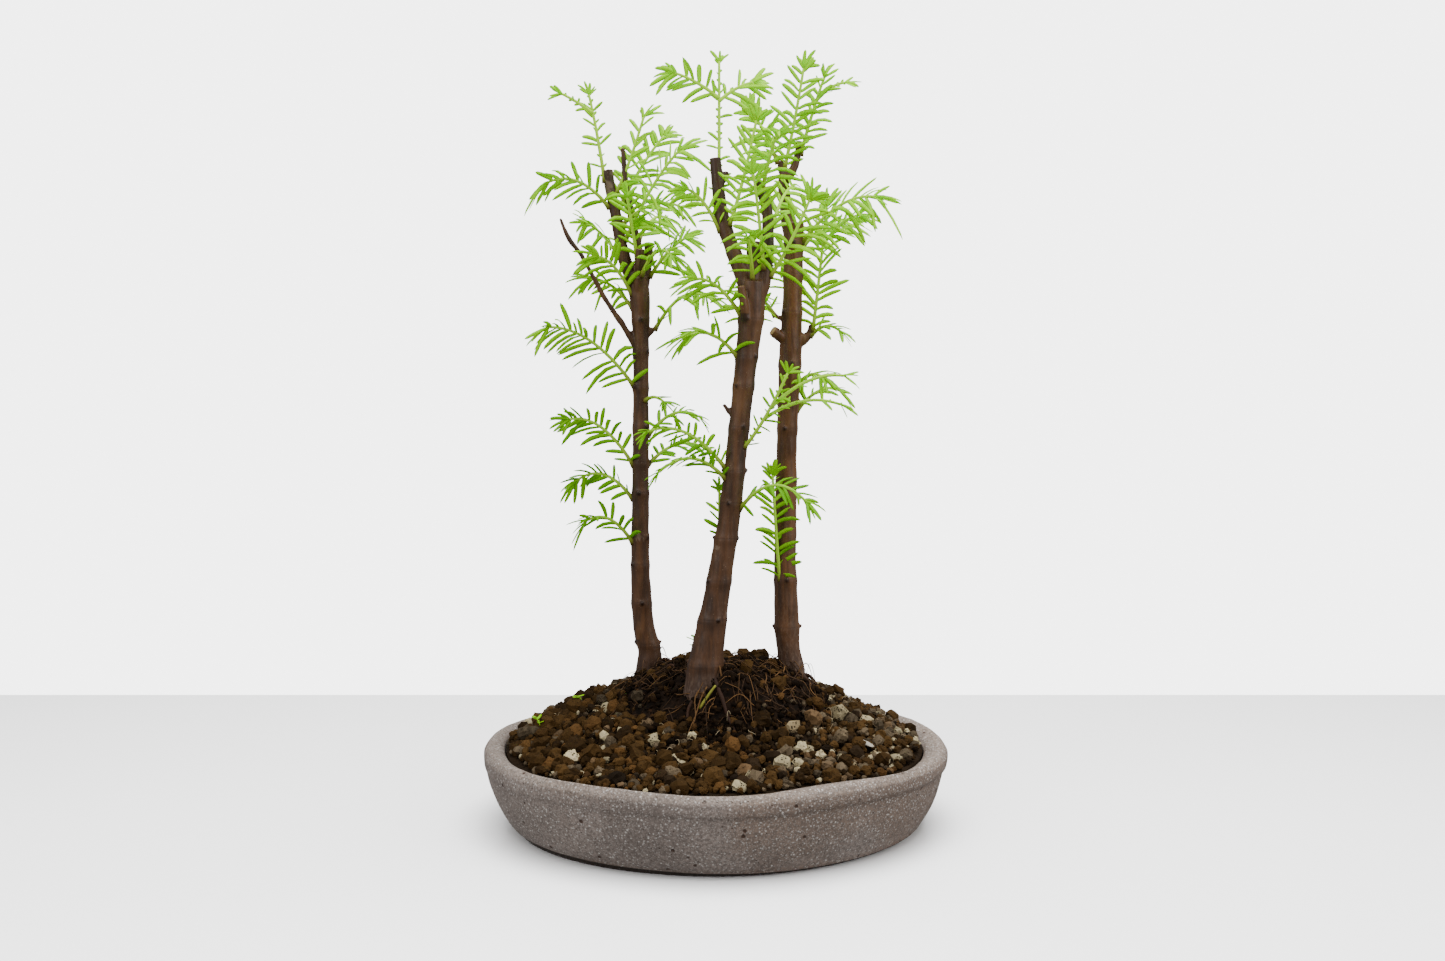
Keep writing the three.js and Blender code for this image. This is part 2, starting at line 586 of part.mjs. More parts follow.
// ---------------------------------------------------------------- seedlings
function seedlingSolid([x, y, lean], grow = 0) {
  const onBall = ballShare(x, y) < 1;
  const ground = onBall ? ballHeight(x, y) : soilHeight(x, y);
  const start = new THREE.Vector3(x, y, ground - SEEDLING_ROOT);
  const row = {
    to: [lean, lean / 2, SEEDLING_HEIGHT + SEEDLING_ROOT],
    leaf: SEEDLING_HEIGHT / 2,
    bow: 0,
    roll: 60,
  };
  const stem = stemLine(start, row);
  const stalk = { radii: [STEM_WIDTH / 3, STEM_WIDTH / 3, STEM_WIDTH / 4], sides: 4 };
  const pairs = [0.6, 0.85].map((u) =>
    pairSolid(stem.at(u), row.leaf * (1.3 - u * 0.6), THREE.MathUtils.degToRad(62), grow));
  return joined([limbSolid(stem.curve, stalk, grow), ...pairs]);
}

// ---------------------------------------------------------------- assembly
const bonsai = new THREE.Group();
bonsai.name = "bonsai_group_planting";

function addPiece(name, solid, material) {
  const geometry = geometryOf(solid.simplify(SLIVER));
  const mesh = new THREE.Mesh(geometry, new THREE.MeshStandardMaterial(material));
  mesh.name = name;
  bonsai.add(mesh);
}

addPiece("pot", makePot(), stoneware);
addPiece("drain_screen_left", makeScreen(-1), plasticMesh);
addPiece("drain_screen_right", makeScreen(1), plasticMesh);

const seedlingRoom = SEEDLINGS.map((row) => seedlingSolid(row, GAP));
const buried = joined([solidOf(makeBall(GAP)), screenRoom(-1), screenRoom(1), ...seedlingRoom]);
addPiece("soil_bed", solidOf(makeSoil()).subtract(buried), gravel);

const treeRoom = Object.values(TREES).map((tree) => treeSolid(tree, GAP));
const rooted = joined([...treeRoom, ...seedlingRoom]);
addPiece("root_ball", solidOf(makeBall()).subtract(rooted), peat);
for (const [name, tree] of Object.entries(TREES)) addPiece(`${name}_trunk`, treeSolid(tree), bark);

// Each shoot is trimmed clear of the wood and of the shoots placed before it. Shoots bend and
// cross, so twice the usual clearance is cut between them.
const placed = [...treeRoom];
const boxesMeet = (a, b) => {
  const [p, q] = [a.boundingBox(), b.boundingBox()];
  return [0, 1, 2].every((k) => p.min[k] < q.max[k] && q.min[k] < p.max[k]);
};
for (const [name, rows] of Object.entries(SHOOTS))
  rows.forEach((row, i) => {
    const tree = TREES[name];
    const whole = shootSolid(tree, row);
    const near = placed.filter((other) => boxesMeet(whole, other));
    const clear = largestBody(near.reduce((rest, other) => rest.subtract(other), whole));
    placed.push(shootSolid(tree, row, 2 * GAP));
    addPiece(`${name}_shoot_${String(i + 1).padStart(2, "0")}`, clear, leafGreen);
  });

SEEDLINGS.forEach((row, i) => addPiece(`seedling_${i + 1}`, seedlingSolid(row), leafGreen));

export default bonsai;
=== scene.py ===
"""A small group of three feathery conifers in a shallow hand-made stoneware pot."""
import math

import bpy
import numpy as np
from bpy.props import FloatProperty, FloatVectorProperty, IntProperty, PointerProperty
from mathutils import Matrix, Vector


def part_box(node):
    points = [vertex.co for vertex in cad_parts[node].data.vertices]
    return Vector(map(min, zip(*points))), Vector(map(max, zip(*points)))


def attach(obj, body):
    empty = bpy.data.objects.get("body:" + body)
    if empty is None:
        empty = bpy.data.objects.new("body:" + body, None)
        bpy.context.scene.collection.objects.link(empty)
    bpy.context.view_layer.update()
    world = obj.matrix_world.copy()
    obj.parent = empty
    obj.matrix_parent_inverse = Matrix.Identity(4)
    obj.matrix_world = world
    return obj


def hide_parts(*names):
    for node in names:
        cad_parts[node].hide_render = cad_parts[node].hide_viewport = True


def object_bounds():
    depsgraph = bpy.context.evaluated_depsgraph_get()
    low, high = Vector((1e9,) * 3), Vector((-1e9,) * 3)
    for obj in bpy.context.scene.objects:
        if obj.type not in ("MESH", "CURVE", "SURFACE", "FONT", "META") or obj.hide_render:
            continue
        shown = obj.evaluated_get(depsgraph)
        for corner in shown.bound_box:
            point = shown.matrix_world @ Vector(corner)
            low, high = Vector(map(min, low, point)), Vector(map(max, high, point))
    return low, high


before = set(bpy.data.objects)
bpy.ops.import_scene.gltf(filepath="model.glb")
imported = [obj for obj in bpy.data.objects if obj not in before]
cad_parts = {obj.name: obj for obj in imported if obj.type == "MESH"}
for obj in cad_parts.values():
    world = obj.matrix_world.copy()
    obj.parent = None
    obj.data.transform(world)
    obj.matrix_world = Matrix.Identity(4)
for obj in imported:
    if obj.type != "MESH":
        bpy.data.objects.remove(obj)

bl_info = {
    "name": "Bonsai group planting",
    "version": (1, 0, 0),
    "blender": (4, 5, 0),
    "location": "3D View > Sidebar > Bonsai",
    "description": "Three feathery conifers in a shallow stoneware pot",
    "category": "Add Mesh",
}

CAD_BOX = [list(corner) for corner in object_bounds()]
MM = 0.001

# ------------------------------------------------------------------ the plan, in millimetres
# Each limb of a tree: (across, back, height above the table, thickness) along its middle line.
LIMBS = {
    "left": {
        "trunk": [(-42, 35, 84.4, 17.5), (-42, 35, 97, 14.6), (-45.5, 35, 112, 13.6),
            (-47.5, 34, 149, 12), (-47.4, 34, 183, 11), (-47, 34, 233, 10.4),
            (-46.8, 34, 283, 10), (-46.7, 34, 298, 10.6), (-48, 34, 324, 13),
            (-51, 34, 333, 9)],
        "leader": [(-50, 34, 327, 9), (-53.8, 34, 333, 8.5), (-58.3, 34, 348.5, 8),
            (-61.6, 34, 367, 7.5), (-65, 34, 383, 7), (-67, 34, 396, 7)],
        "thin_leader": [(-48.5, 34, 325, 7), (-47.4, 33, 340, 6), (-51.6, 32, 365, 5),
            (-55, 32, 383, 4.2), (-57.4, 32, 409, 3)],
        "front_stub": [(-48, 30, 322, 6), (-47, 27, 336, 5.6), (-46.6, 26, 347, 5.4)],
        "side_stub": [(-45, 36, 322, 6.4), (-42.6, 37, 338, 6), (-41.6, 37, 352, 5.6)],
        "knob": [(-46, 34, 293, 5.6), (-41.5, 34, 296, 4.6), (-38.5, 34, 298.5, 3.6)],
        "dead_twig": [(-50, 33, 288, 5), (-58, 31, 301, 3.6), (-68, 29, 316, 3.2),
            (-83, 25, 343.5, 3), (-90, 23, 353, 3.4), (-95, 22, 365, 2)],
    },
    "middle": {
        "trunk": [(-6.5, -15, 82, 25.5), (-6, -15, 98, 21), (-3.1, -15, 117, 18),
            (0, -15, 135.6, 15.6), (3.1, -15, 155, 14.3), (8.3, -14, 187, 13.4),
            (13.3, -14, 234, 12.4), (18.5, -14, 282, 13.4), (21.4, -14, 309, 15.6),
            (22, -14, 324, 14)],
        "left_leader": [(20, -14, 316, 11), (15.7, -13, 328, 10), (9.5, -12, 343.5, 9.2),
            (4, -11, 360, 8.8), (1.6, -10, 376.5, 7.8), (-0.4, -10, 396, 7)],
        "right_leader": [(23.5, -14, 313, 10.5), (27.8, -14, 322, 9), (30, -13, 336, 7.9),
            (30.7, -12, 351, 7.4), (29.8, -12, 367, 7), (24.7, -12, 382, 6)],
        "centre_stub": [(22, -14, 320, 9), (22.3, -13.5, 334, 8.6), (22, -13, 347, 8.4)],
        "front_stub": [(18, -18, 300, 6), (16.6, -22, 308, 5.2), (14.8, -23, 320.5, 4.8)],
        "spur": [(2, -10, 380, 5), (5, -10, 384, 4), (7, -10, 388, 3)],
        "low_twig": [(12, -14, 244, 4), (7.5, -14, 248, 3), (4.5, -14, 252, 2.2)],
    },
    "right": {
        "trunk": [(47.5, 30, 85.4, 16.5), (45.6, 30, 97, 14.8), (44.5, 30, 110, 15.7),
            (43.2, 30, 150, 14.1), (43.4, 30, 183, 13.7), (44.1, 30, 233, 12.8),
            (46.1, 30, 283, 14.2), (47.2, 30, 316, 12.4), (48, 30, 356, 12.4),
            (48, 30, 363, 13)],
        "leader": [(46, 31, 356, 9), (44, 31, 364, 8), (42.7, 31, 376, 7.8),
            (41.8, 31, 389, 7.6), (44.2, 31, 394, 7.4)],
        "left_prong": [(42.5, 31, 390, 6), (40.5, 31, 396, 5), (39.3, 30, 401, 4)],
        "right_prong": [(44, 31, 391, 6.4), (47.6, 31, 396, 5.6), (49.8, 31, 403, 5),
            (51.5, 31, 413, 4.4)],
        "left_knob": [(45, 29, 291, 9), (39, 27, 294, 7.2), (34.6, 25, 297, 6.6)],
        "right_stub": [(47, 30, 289, 9), (54, 30, 292, 7), (57.6, 30, 295, 5),
            (58.8, 30, 301, 3)],
        "twig": [(45, 30, 303, 4.4), (40, 29, 304.5, 3.2), (36.3, 28, 306, 2.4)],
    },
}
# Each shoot: limb, height at which it leaves the limb, its tip (across, back, height), how far
# its middle stands above the straight line to the tip, its longest leaflets, how far the flat
# of the frond is turned about its stem in degrees, and any side fronds, which start with the
# share of the stem at which they leave it.
SHOOTS = {
    "left": [
        ("leader", 388, (-79, 30, 446), 4, 9, 70,
         [(0.66, (-99, 27, 443), 1, 8, 50)]),
        ("leader", 381, (-41, 28, 438), -4, 13, 70),
        ("leader", 372, (-27, 45, 424), 5, 14, 60),
        ("leader", 352, (-14, 12, 411), 8, 21, 75),
        ("leader", 372, (-113, 18, 378), 14, 17, 35),
        ("leader", 362, (-13, 14, 366), 10, 13, 50),
        ("thin_leader", 338, (-55, 12, 384), 2, 13, 24),
        ("trunk", 330, (-90, 70, 370), 8, 17, 40),
        ("trunk", 319, (-80, 12, 339), 10, 17, 45),
        ("trunk", 310, (-88, 52, 328), 9, 15, 35),
        ("side_stub", 330, (-10, 25, 356), 6, 17, 60),
        ("front_stub", 330, (-21, -2, 331), 14, 14, 30),
        ("knob", 297.5, (4, 12, 308), 16, 16, 20),
        ("trunk", 262, (-111, 0, 296), 14, 19, 50),
        ("trunk", 213, (-98, 16, 239), 14, 14, 50),
        ("trunk", 192, (-98, 42, 193), 16, 14, 40),
        ("trunk", 164, (-88, 12, 172), 14, 15, 35),
        ("trunk", 254, (-29, 14, 250), 4, 6, 10),
        ("trunk", 232, (-4, 42, 238), 12, 10, 25),
        ("trunk", 213, (1, 60, 217), 12, 11, 25),
        ("thin_leader", 352, (-28, 80, 368), 10, 16, 30),
    ],
    "middle": [
        ("trunk", 303, (-22, -32, 319), 12, 17, 30),
        ("trunk", 279, (-28, -32, 280), 14, 20, 20),
        ("trunk", 213, (-47, -33, 232), 14, 11, 40),
        ("trunk", 207, (-39, -44, 206), 14, 11, 25),
        ("trunk", 172, (2, -10, 209), -3, 9, -35),
        ("left_leader", 374, (2, -6, 458), -2, 7, 10,
         [(0.7, (-33, -14, 446), 3, 14, 60),
          (0.68, (32, -4, 441), 4, 15, 60)]),
        ("left_leader", 356, (26, -27, 428), -6, 15, 120),
        ("left_leader", 352, (-24, -20, 376), 9, 13, 50),
        ("right_leader", 330, (20, -36, 391), 6, 17, 22),
        ("right_leader", 326, (60, -30, 384), -4, 19, 118),
        ("right_leader", 377, (38, -46, 409), 6, 20, 10),
        ("trunk", 226, (44, -36, 276), -4, 8, 120,
         [(0.55, (80, -32, 267), 8, 9, 30),
          (0.42, (79, -26, 249), 8, 9, 25)]),
        ("trunk", 190, (61, -36, 184), 18, 13, 25),
        ("centre_stub", 324, (17, -48, 346), 8, 13, 30),
        ("trunk", 296, (18, 40, 318), 12, 17, 20),
        ("right_leader", 352, (50, 30, 386), 8, 16, 40),
    ],
    "right": [
        ("right_stub", 296, (69, 25, 386), -3, 17, 80, [(0.62, (96, 20, 366), 7, 14, 50)]),
        ("right_prong", 404, (69, 24, 458), 3, 14, 75, [(0.55, (84, 22, 446), 4, 9, 50)]),
        ("left_prong", 396, (55, 18, 467), -4, 15, 130),
        ("left_prong", 399, (16, 26, 436), 5, 16, 65),
        ("right_stub", 293, (84, 22, 286), 10, 12, 20),
        ("trunk", 142, (34, 18, 221), -6, 14, 30),
        ("twig", 305.5, (12, 16, 322), 6, 10, 40),
        ("trunk", 350, (108, 2, 371), 14, 20, 45),
        ("trunk", 318, (42, 86, 338), 12, 16, 20),
        ("trunk", 345, (92, 64, 366), 10, 17, 35),
        ("trunk", 262, (70, 2, 262), 8, 14, 25),
        ("trunk", 246, (86, 42, 256), 10, 14, 25),
    ],
}
# Each tree: the seed of its random numbers, how much warmer its bark is than the average, how
# high the grey skin reaches above its foot, and how young its leaves are, from 0 to 1.
TREES = {
    "left": {"seed": 21, "warmth": -0.06, "grey_to": 3.0, "young": 0.38},
    "middle": {"seed": 22, "warmth": -0.12, "grey_to": 14.0, "young": 0.54},
    "right": {"seed": 23, "warmth": 0.50, "grey_to": 60.0, "young": 0.62},
}
# Leaf scars ring the trunks at these heights.
SCARS = {
    "left": [101, 127, 151, 168, 196, 215, 237, 262, 284, 303],
    "middle": [98, 124, 147, 172, 193, 212, 238, 262, 279, 301],
    "right": [112, 142, 171, 204, 236, 252, 276, 308, 331, 350],
}

# Seedlings in the earth: (across, back, lean to the right, height, node).
SEEDLINGS = [
    (-88, 14, 3, 11.5, "seedling_1"), (-104, -8, -4, 11.5, "seedling_2"),
    (-16, 26, 2, 17.5, "seedling_3"),
]


# ------------------------------------------------------------------ settings
def length(name, text, default):
    """A setting in metres."""
    return FloatProperty(
        name=name, description=text, default=default, unit="LENGTH", precision=4
    )


def colour(name, text, default):
    """A setting that holds a colour, as linear red, green and blue."""
    return FloatVectorProperty(
        name=name, description=text, default=default, subtype="COLOR", size=3, min=0, max=1
    )


POT_LOW, POT_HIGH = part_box("pot")


class PotSettings(bpy.types.PropertyGroup):
    long: length("Length", "Outside length of the rim", POT_HIGH.x - POT_LOW.x)
    deep: length("Depth", "Outside depth of the rim", POT_HIGH.y - POT_LOW.y)
    high: length("Height", "Height of the rim's ridge", 0.049)
    wave: length("Wave", "How far the hand-shaped outline and rim wander", 0.0016)
    foot: length("Foot inset", "How much smaller the foot is than the rim", 0.017)
    wall: length("Wall", "Thickness of the flared wall", 0.009)
    floor: length("Floor", "Thickness of the pot's floor", 0.008)
    lip: length("Lip", "Width of the rim at its narrow side", 0.0098)
    lip_more: length("Broad lip", "How much wider the rim is at its broad side", 0.0072)
    clay: colour("Clay", "Fired clay", (0.285, 0.232, 0.205))
    pale: colour("Pale", "Rubbed rim", (0.385, 0.308, 0.250))


class EarthSettings(bpy.types.PropertyGroup):
    below: length("Below rim", "Depth of the gravel's edge below the rim", 0.003)
    rise: length("Rise", "Height of the root ball's edge above that", 0.026)
    crown: length("Crown", "Doming of the root ball", 0.020)
    mound: length("Heap", "Height of the heap before the middle trunk", 0.0185)
    against_wall: length("Against wall", "How far the gravel is banked up at the wall", 0.0014)
    grains: IntProperty(name="Grains", description="Small grains of grit", default=2900)
    stones: IntProperty(name="Stones", description="Large grains of grit", default=760)
    crumbs: IntProperty(name="Crumbs", description="Crumbs of peat", default=2600)
    fibres: IntProperty(name="Fibres", description="Fine roots and fibres", default=300)
    hairs: IntProperty(name="Hairs", description="Pale root hairs on the grit", default=70)
    clay: colour("Baked clay", "Brown baked clay granules", (0.041, 0.0212, 0.0060))
    pumice: colour("Pumice", "Pale pumice", (0.50, 0.42, 0.25))
    beige: colour("Beige stone", "Beige and pinkish stone", (0.088, 0.064, 0.038))
    peat: colour("Peat", "Dark fibrous earth", (0.0065, 0.0034, 0.0018))


class WoodSettings(bpy.types.PropertyGroup):
    voxel: length("Detail", "Size of the smallest modelled bark detail", 0.00075)
    ridge: length("Ridge", "Depth of the bark's long ridges", 0.00026)
    bark: colour("Bark", "Bark on the lit side", (0.082, 0.033, 0.0105))
    # Dark bark is also painted shade: it fills the furrows, the scar grooves and the upper trunk
    # under the leaves, where the cut ends are
    dark: colour("Dark bark", "Bark in furrows and near cuts", (0.018, 0.008, 0.005))
    cut: colour("Cut wood", "Freshly cut wood", (0.46, 0.28, 0.13))


class LeafSettings(bpy.types.PropertyGroup):
    width: length("Width", "Width of a leaflet", 0.00265)
    spacing: length("Spacing", "Distance between two pairs of leaflets", 0.0050)
    bare: FloatProperty(
        name="Bare", description="Share of a short-leaved shoot's leaflets that are mere scales",
        default=0.62, min=0, max=1,
    )
    reach: FloatProperty(
        name="Reach", description="Length of the longest leaflets against the table's",
        default=1.32, min=0.2, max=3,
    )
    young: colour("Young", "Young leaflets", (0.52, 0.97, 0.0))
    old: colour("Old", "Older leaflets", (0.170, 0.54, 0.0))


class StageSettings(bpy.types.PropertyGroup):
    distance: length("Distance", "From the camera to the middle of the pot", 0.840)
    height: length("Height", "Height of the camera above the table", 0.256)
    pitch: FloatProperty(
        name="Pitch", description="How far the camera looks down",
        default=math.radians(3.4), subtype="ANGLE",
    )
    lens: FloatProperty(name="Lens", description="Focal length in millimetres", default=34.9)
    table: length("Table", "From the middle of the pot to the table's far edge", 0.354)


class BonsaiSettings(bpy.types.PropertyGroup):
    pot: PointerProperty(type=PotSettings)
    earth: PointerProperty(type=EarthSettings)
    wood: PointerProperty(type=WoodSettings)
    leaf: PointerProperty(type=LeafSettings)
    stage: PointerProperty(type=StageSettings)


# ------------------------------------------------------------------ arrays into meshes
def unit(v):
    """Each vector divided by its length."""
    return v / np.maximum(np.linalg.norm(v, axis=-1, keepdims=True), 1e-12)


def outward(points, triangles):
    """Triangles turned so that their volume, the sum of a . (b x c) / 6, is positive."""
    p = points[triangles]
    if np.einsum("ij,ij->", p[:, 0], np.cross(p[:, 1], p[:, 2])) < 0:
        triangles = triangles[:, ::-1]
    return triangles


def skin(rings):
    """Closed skins: rings of points along one or several bodies (bodies, rings, points, 3) are
    joined to the next ring by two triangles a side, and each end is closed by a fan to the
    middle of its last ring. Gives points, triangles and the number of points in one body."""
    rings = np.asarray(rings, float)
    if rings.ndim == 3:
        rings = rings[None]
    n, s, c, _ = rings.shape
    ends = np.stack([rings[:, 0].mean(1), rings[:, -1].mean(1)], 1)
    points = np.concatenate([rings.reshape(n, s * c, 3), ends], 1)
    i, j = np.meshgrid(np.arange(s - 1), np.arange(c), indexing="ij")
    a = (i * c + j).ravel()
    b = (i * c + (j + 1) % c).ravel()
    k = np.arange(c)
    k2 = (k + 1) % c
    one = np.concatenate([
        np.stack([a, b, b + c], 1),
        np.stack([a, b + c, a + c], 1),
        np.stack([k2, k, np.full(c, s * c)], 1),
        np.stack([k + (s - 1) * c, k2 + (s - 1) * c, np.full(c, s * c + 1)], 1),
    ])
    one = outward(points[0], one)
    size = s * c + 2
    triangles = (one[None] + (np.arange(n) * size)[:, None, None]).reshape(-1, 3)
    return points.reshape(-1, 3), triangles, size


def stacked(parts):
    """Several (points, triangles) as one."""
    offsets = np.cumsum([0] + [len(p) for p, _ in parts[:-1]])
    points = np.concatenate([p for p, _ in parts])
    return points, np.concatenate([t + o for (_, t), o in zip(parts, offsets)])


def gathered(parts):
    """Several (points, triangles, tints) as one."""
    points, triangles = stacked([part[:2] for part in parts])
    return points, triangles, np.concatenate([tints for _, _, tints in parts])


def make_mesh(name, points, triangles):
    """Points in millimetres and triangles as a smooth mesh in metres."""
    mesh = bpy.data.meshes.new(name)
    mesh.vertices.add(len(points))
    mesh.vertices.foreach_set("co", (np.asarray(points) * MM).astype(np.float32).ravel())
    mesh.loops.add(triangles.size)
    mesh.loops.foreach_set("vertex_index", triangles.astype(np.int32).ravel())
    mesh.polygons.add(len(triangles))
    starts = np.arange(0, triangles.size, 3, dtype=np.int32)
    mesh.polygons.foreach_set("loop_start", starts)
    mesh.polygons.foreach_set("use_smooth", np.ones(len(triangles), bool))
    mesh.update(calc_edges=True)
    mesh.validate()
    return mesh


def add_tints(mesh, tints):
    """Stores one (r, g, b) for each point as the attribute "tint" that the materials read."""
    rgba = np.ones((len(mesh.vertices), 4), np.float32)
    rgba[:, :3] = tints
    mesh.attributes.new("tint", "FLOAT_COLOR", "POINT").data.foreach_set("color", rgba.ravel())


def add_shades(mesh, count, *shades):
    """Gives each body of count points a tint of its own: its shade first, then what else is
    named; the rest of the three values is 0."""
    columns = [*shades, *[np.zeros(len(shades[0]))] * (3 - len(shades))]
    add_tints(mesh, np.repeat(np.column_stack(columns), count, axis=0))


def add_piece(name, mesh, slot, material, *nodes):
    """Puts a mesh into the scene as a piece on the part's one body. It stands for the CAD nodes
    that are named; loose things stand for none."""
    piece = bpy.data.objects.new(name, mesh)
    bpy.context.scene.collection.objects.link(piece)
    mesh.materials.append(material)
    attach(piece, "root")
    if nodes:
        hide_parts(*nodes)
    return piece


def finished(obj):
    """The mesh of an object with its modifiers applied; the object itself is removed."""
    graph = bpy.context.evaluated_depsgraph_get()
    mesh = bpy.data.meshes.new_from_object(obj.evaluated_get(graph))
    bpy.data.objects.remove(obj)
    return mesh


def helper(name, mesh):
    """An object that is in the scene but is no piece."""
    obj = bpy.data.objects.new(name, mesh)
    bpy.context.scene.collection.objects.link(obj)
    return obj


def places_of(mesh):
    """The mesh's points in millimetres."""
    co = np.empty(len(mesh.vertices) * 3, np.float32)
    mesh.vertices.foreach_get("co", co)
    return co.reshape(-1, 3).astype(float) / MM


def normals_of(mesh):
    """The mesh's normal at each point."""
    no = np.empty(len(mesh.vertices) * 3, np.float32)
    mesh.vertex_normals.foreach_get("vector", no)
    return no.reshape(-1, 3).astype(float)


def noise(points, size, seed=0):
    """Smooth noise from -1 to 1: random numbers at the corners of a lattice with cells of the
    given size, blended across each cell by the ease 3t^2 - 2t^3 on each axis. A corner's number
    is a hash of its three indices, which are mixed by large odd numbers and shifts."""
    p = np.asarray(points, float) / size + seed * 13.7
    cell = np.floor(p).astype(np.int64)
    t = p - cell
    t = t * t * (3 - 2 * t)
    total = 0
    for dx in (0, 1):
        for dy in (0, 1):
            for dz in (0, 1):
                h = (cell[..., 0] + dx) * 374761393 + (cell[..., 1] + dy) * 668265263
                h = (h + (cell[..., 2] + dz) * 1442695041) & 0xFFFFFFFF
                h = ((h ^ (h >> 13)) * 1274126177) & 0xFFFFFFFF
                h = (h ^ (h >> 16)) & 0xFFFF
                weight = (
                    (t[..., 0] if dx else 1 - t[..., 0])
                    * (t[..., 1] if dy else 1 - t[..., 1])
                    * (t[..., 2] if dz else 1 - t[..., 2])
                )
                total = total + weight * (h / 32767.5 - 1)
    return total


def rough(points, size, seed=0):
    """Noise at three sizes, each half as large and half as strong as the one before."""
    return (
        noise(points, size, seed) + noise(points, size / 2, seed + 1) / 2
        + noise(points, size / 4, seed + 2) / 4
    ) / 1.75


# ------------------------------------------------------------------ curves
def smooth_line(points, share):
    """Places at shares of a centripetal Catmull-Rom curve. Between two points the curve is the
    cubic with the slopes that the neighbours give when the parameter grows with the root of
    the distance."""
    p = np.asarray(points, float)
    p = np.vstack([2 * p[0] - p[1], p, 2 * p[-1] - p[-2]])
    place = np.clip(share, 0, 1) * (len(p) - 3)
    i = np.minimum(place.astype(int), len(p) - 4)
    t = (place - i)[:, None]
    x0, x1, x2, x3 = p[i], p[i + 1], p[i + 2], p[i + 3]

    def gap(a, b):
        return np.maximum(np.linalg.norm(b[:, :3] - a[:, :3], axis=1), 1e-6)[:, None] ** 0.5

    d0, d1, d2 = gap(x0, x1), gap(x1, x2), gap(x2, x3)
    m1 = d1 * ((x1 - x0) / d0 - (x2 - x0) / (d0 + d1) + (x2 - x1) / d1)
    m2 = d1 * ((x2 - x1) / d1 - (x3 - x1) / (d1 + d2) + (x3 - x2) / d2)
    return (
        x1 * (2 * t**3 - 3 * t**2 + 1) + m1 * (t**3 - 2 * t**2 + t)
        + x2 * (3 * t**2 - 2 * t**3) + m2 * (t**3 - t**2)
    )


def frames(paths):
    """Directions along and across paths (..., points, 3): forward is the slope, side is a fixed
    direction with its forward part taken away, and face is forward x side."""
    forward = unit(np.gradient(paths, axis=-2))
    mean = np.abs(forward.mean(axis=-2, keepdims=True))
    fixed = np.eye(3)[np.argmin(mean, axis=-1)]
    side = unit(fixed - (fixed * forward).sum(-1, keepdims=True) * forward)
    return forward, side, np.cross(forward, side)


def tube_rings(paths, radii, around):
    """Rings of a round tube: path + radius * (side * cos a + face * sin a)."""
    _, side, face = frames(paths)
    a = np.linspace(0, 2 * np.pi, around, endpoint=False)[:, None]
    ring = side[..., None, :] * np.cos(a) + face[..., None, :] * np.sin(a)
    return paths[..., None, :] + ring * np.asarray(radii, float)[..., None, None]


# ------------------------------------------------------------------ materials
class Socket:
    """A shader value that can be added, multiplied and so on; each operation is a Math node."""

    def __init__(self, bench, socket):
        self.bench, self.socket = bench, socket

    def _math(self, operation, a, b=None, clamp=False):
        values = {0: a} if b is None else {0: a, 1: b}
        return self.bench.node(
            "ShaderNodeMath", {"operation": operation, "use_clamp": clamp}, values
        )

    def __add__(self, other): return self._math("ADD", self, other)
    def __radd__(self, other): return self._math("ADD", other, self)
    def __sub__(self, other): return self._math("SUBTRACT", self, other)
    def __rsub__(self, other): return self._math("SUBTRACT", other, self)
    def __mul__(self, other): return self._math("MULTIPLY", self, other)
    def clamped(self): return self._math("ADD", self, 0.0, clamp=True)
    def most(self, other): return self._math("MAXIMUM", self, other)

    def step(self, low, high):
        """0 below low, 1 above high, and an S-shaped rise between them."""
        return self.bench.node(
            "ShaderNodeMapRange", {"interpolation_type": "SMOOTHSTEP"},
            {"Value": self, "From Min": low, "From Max": high},
        )


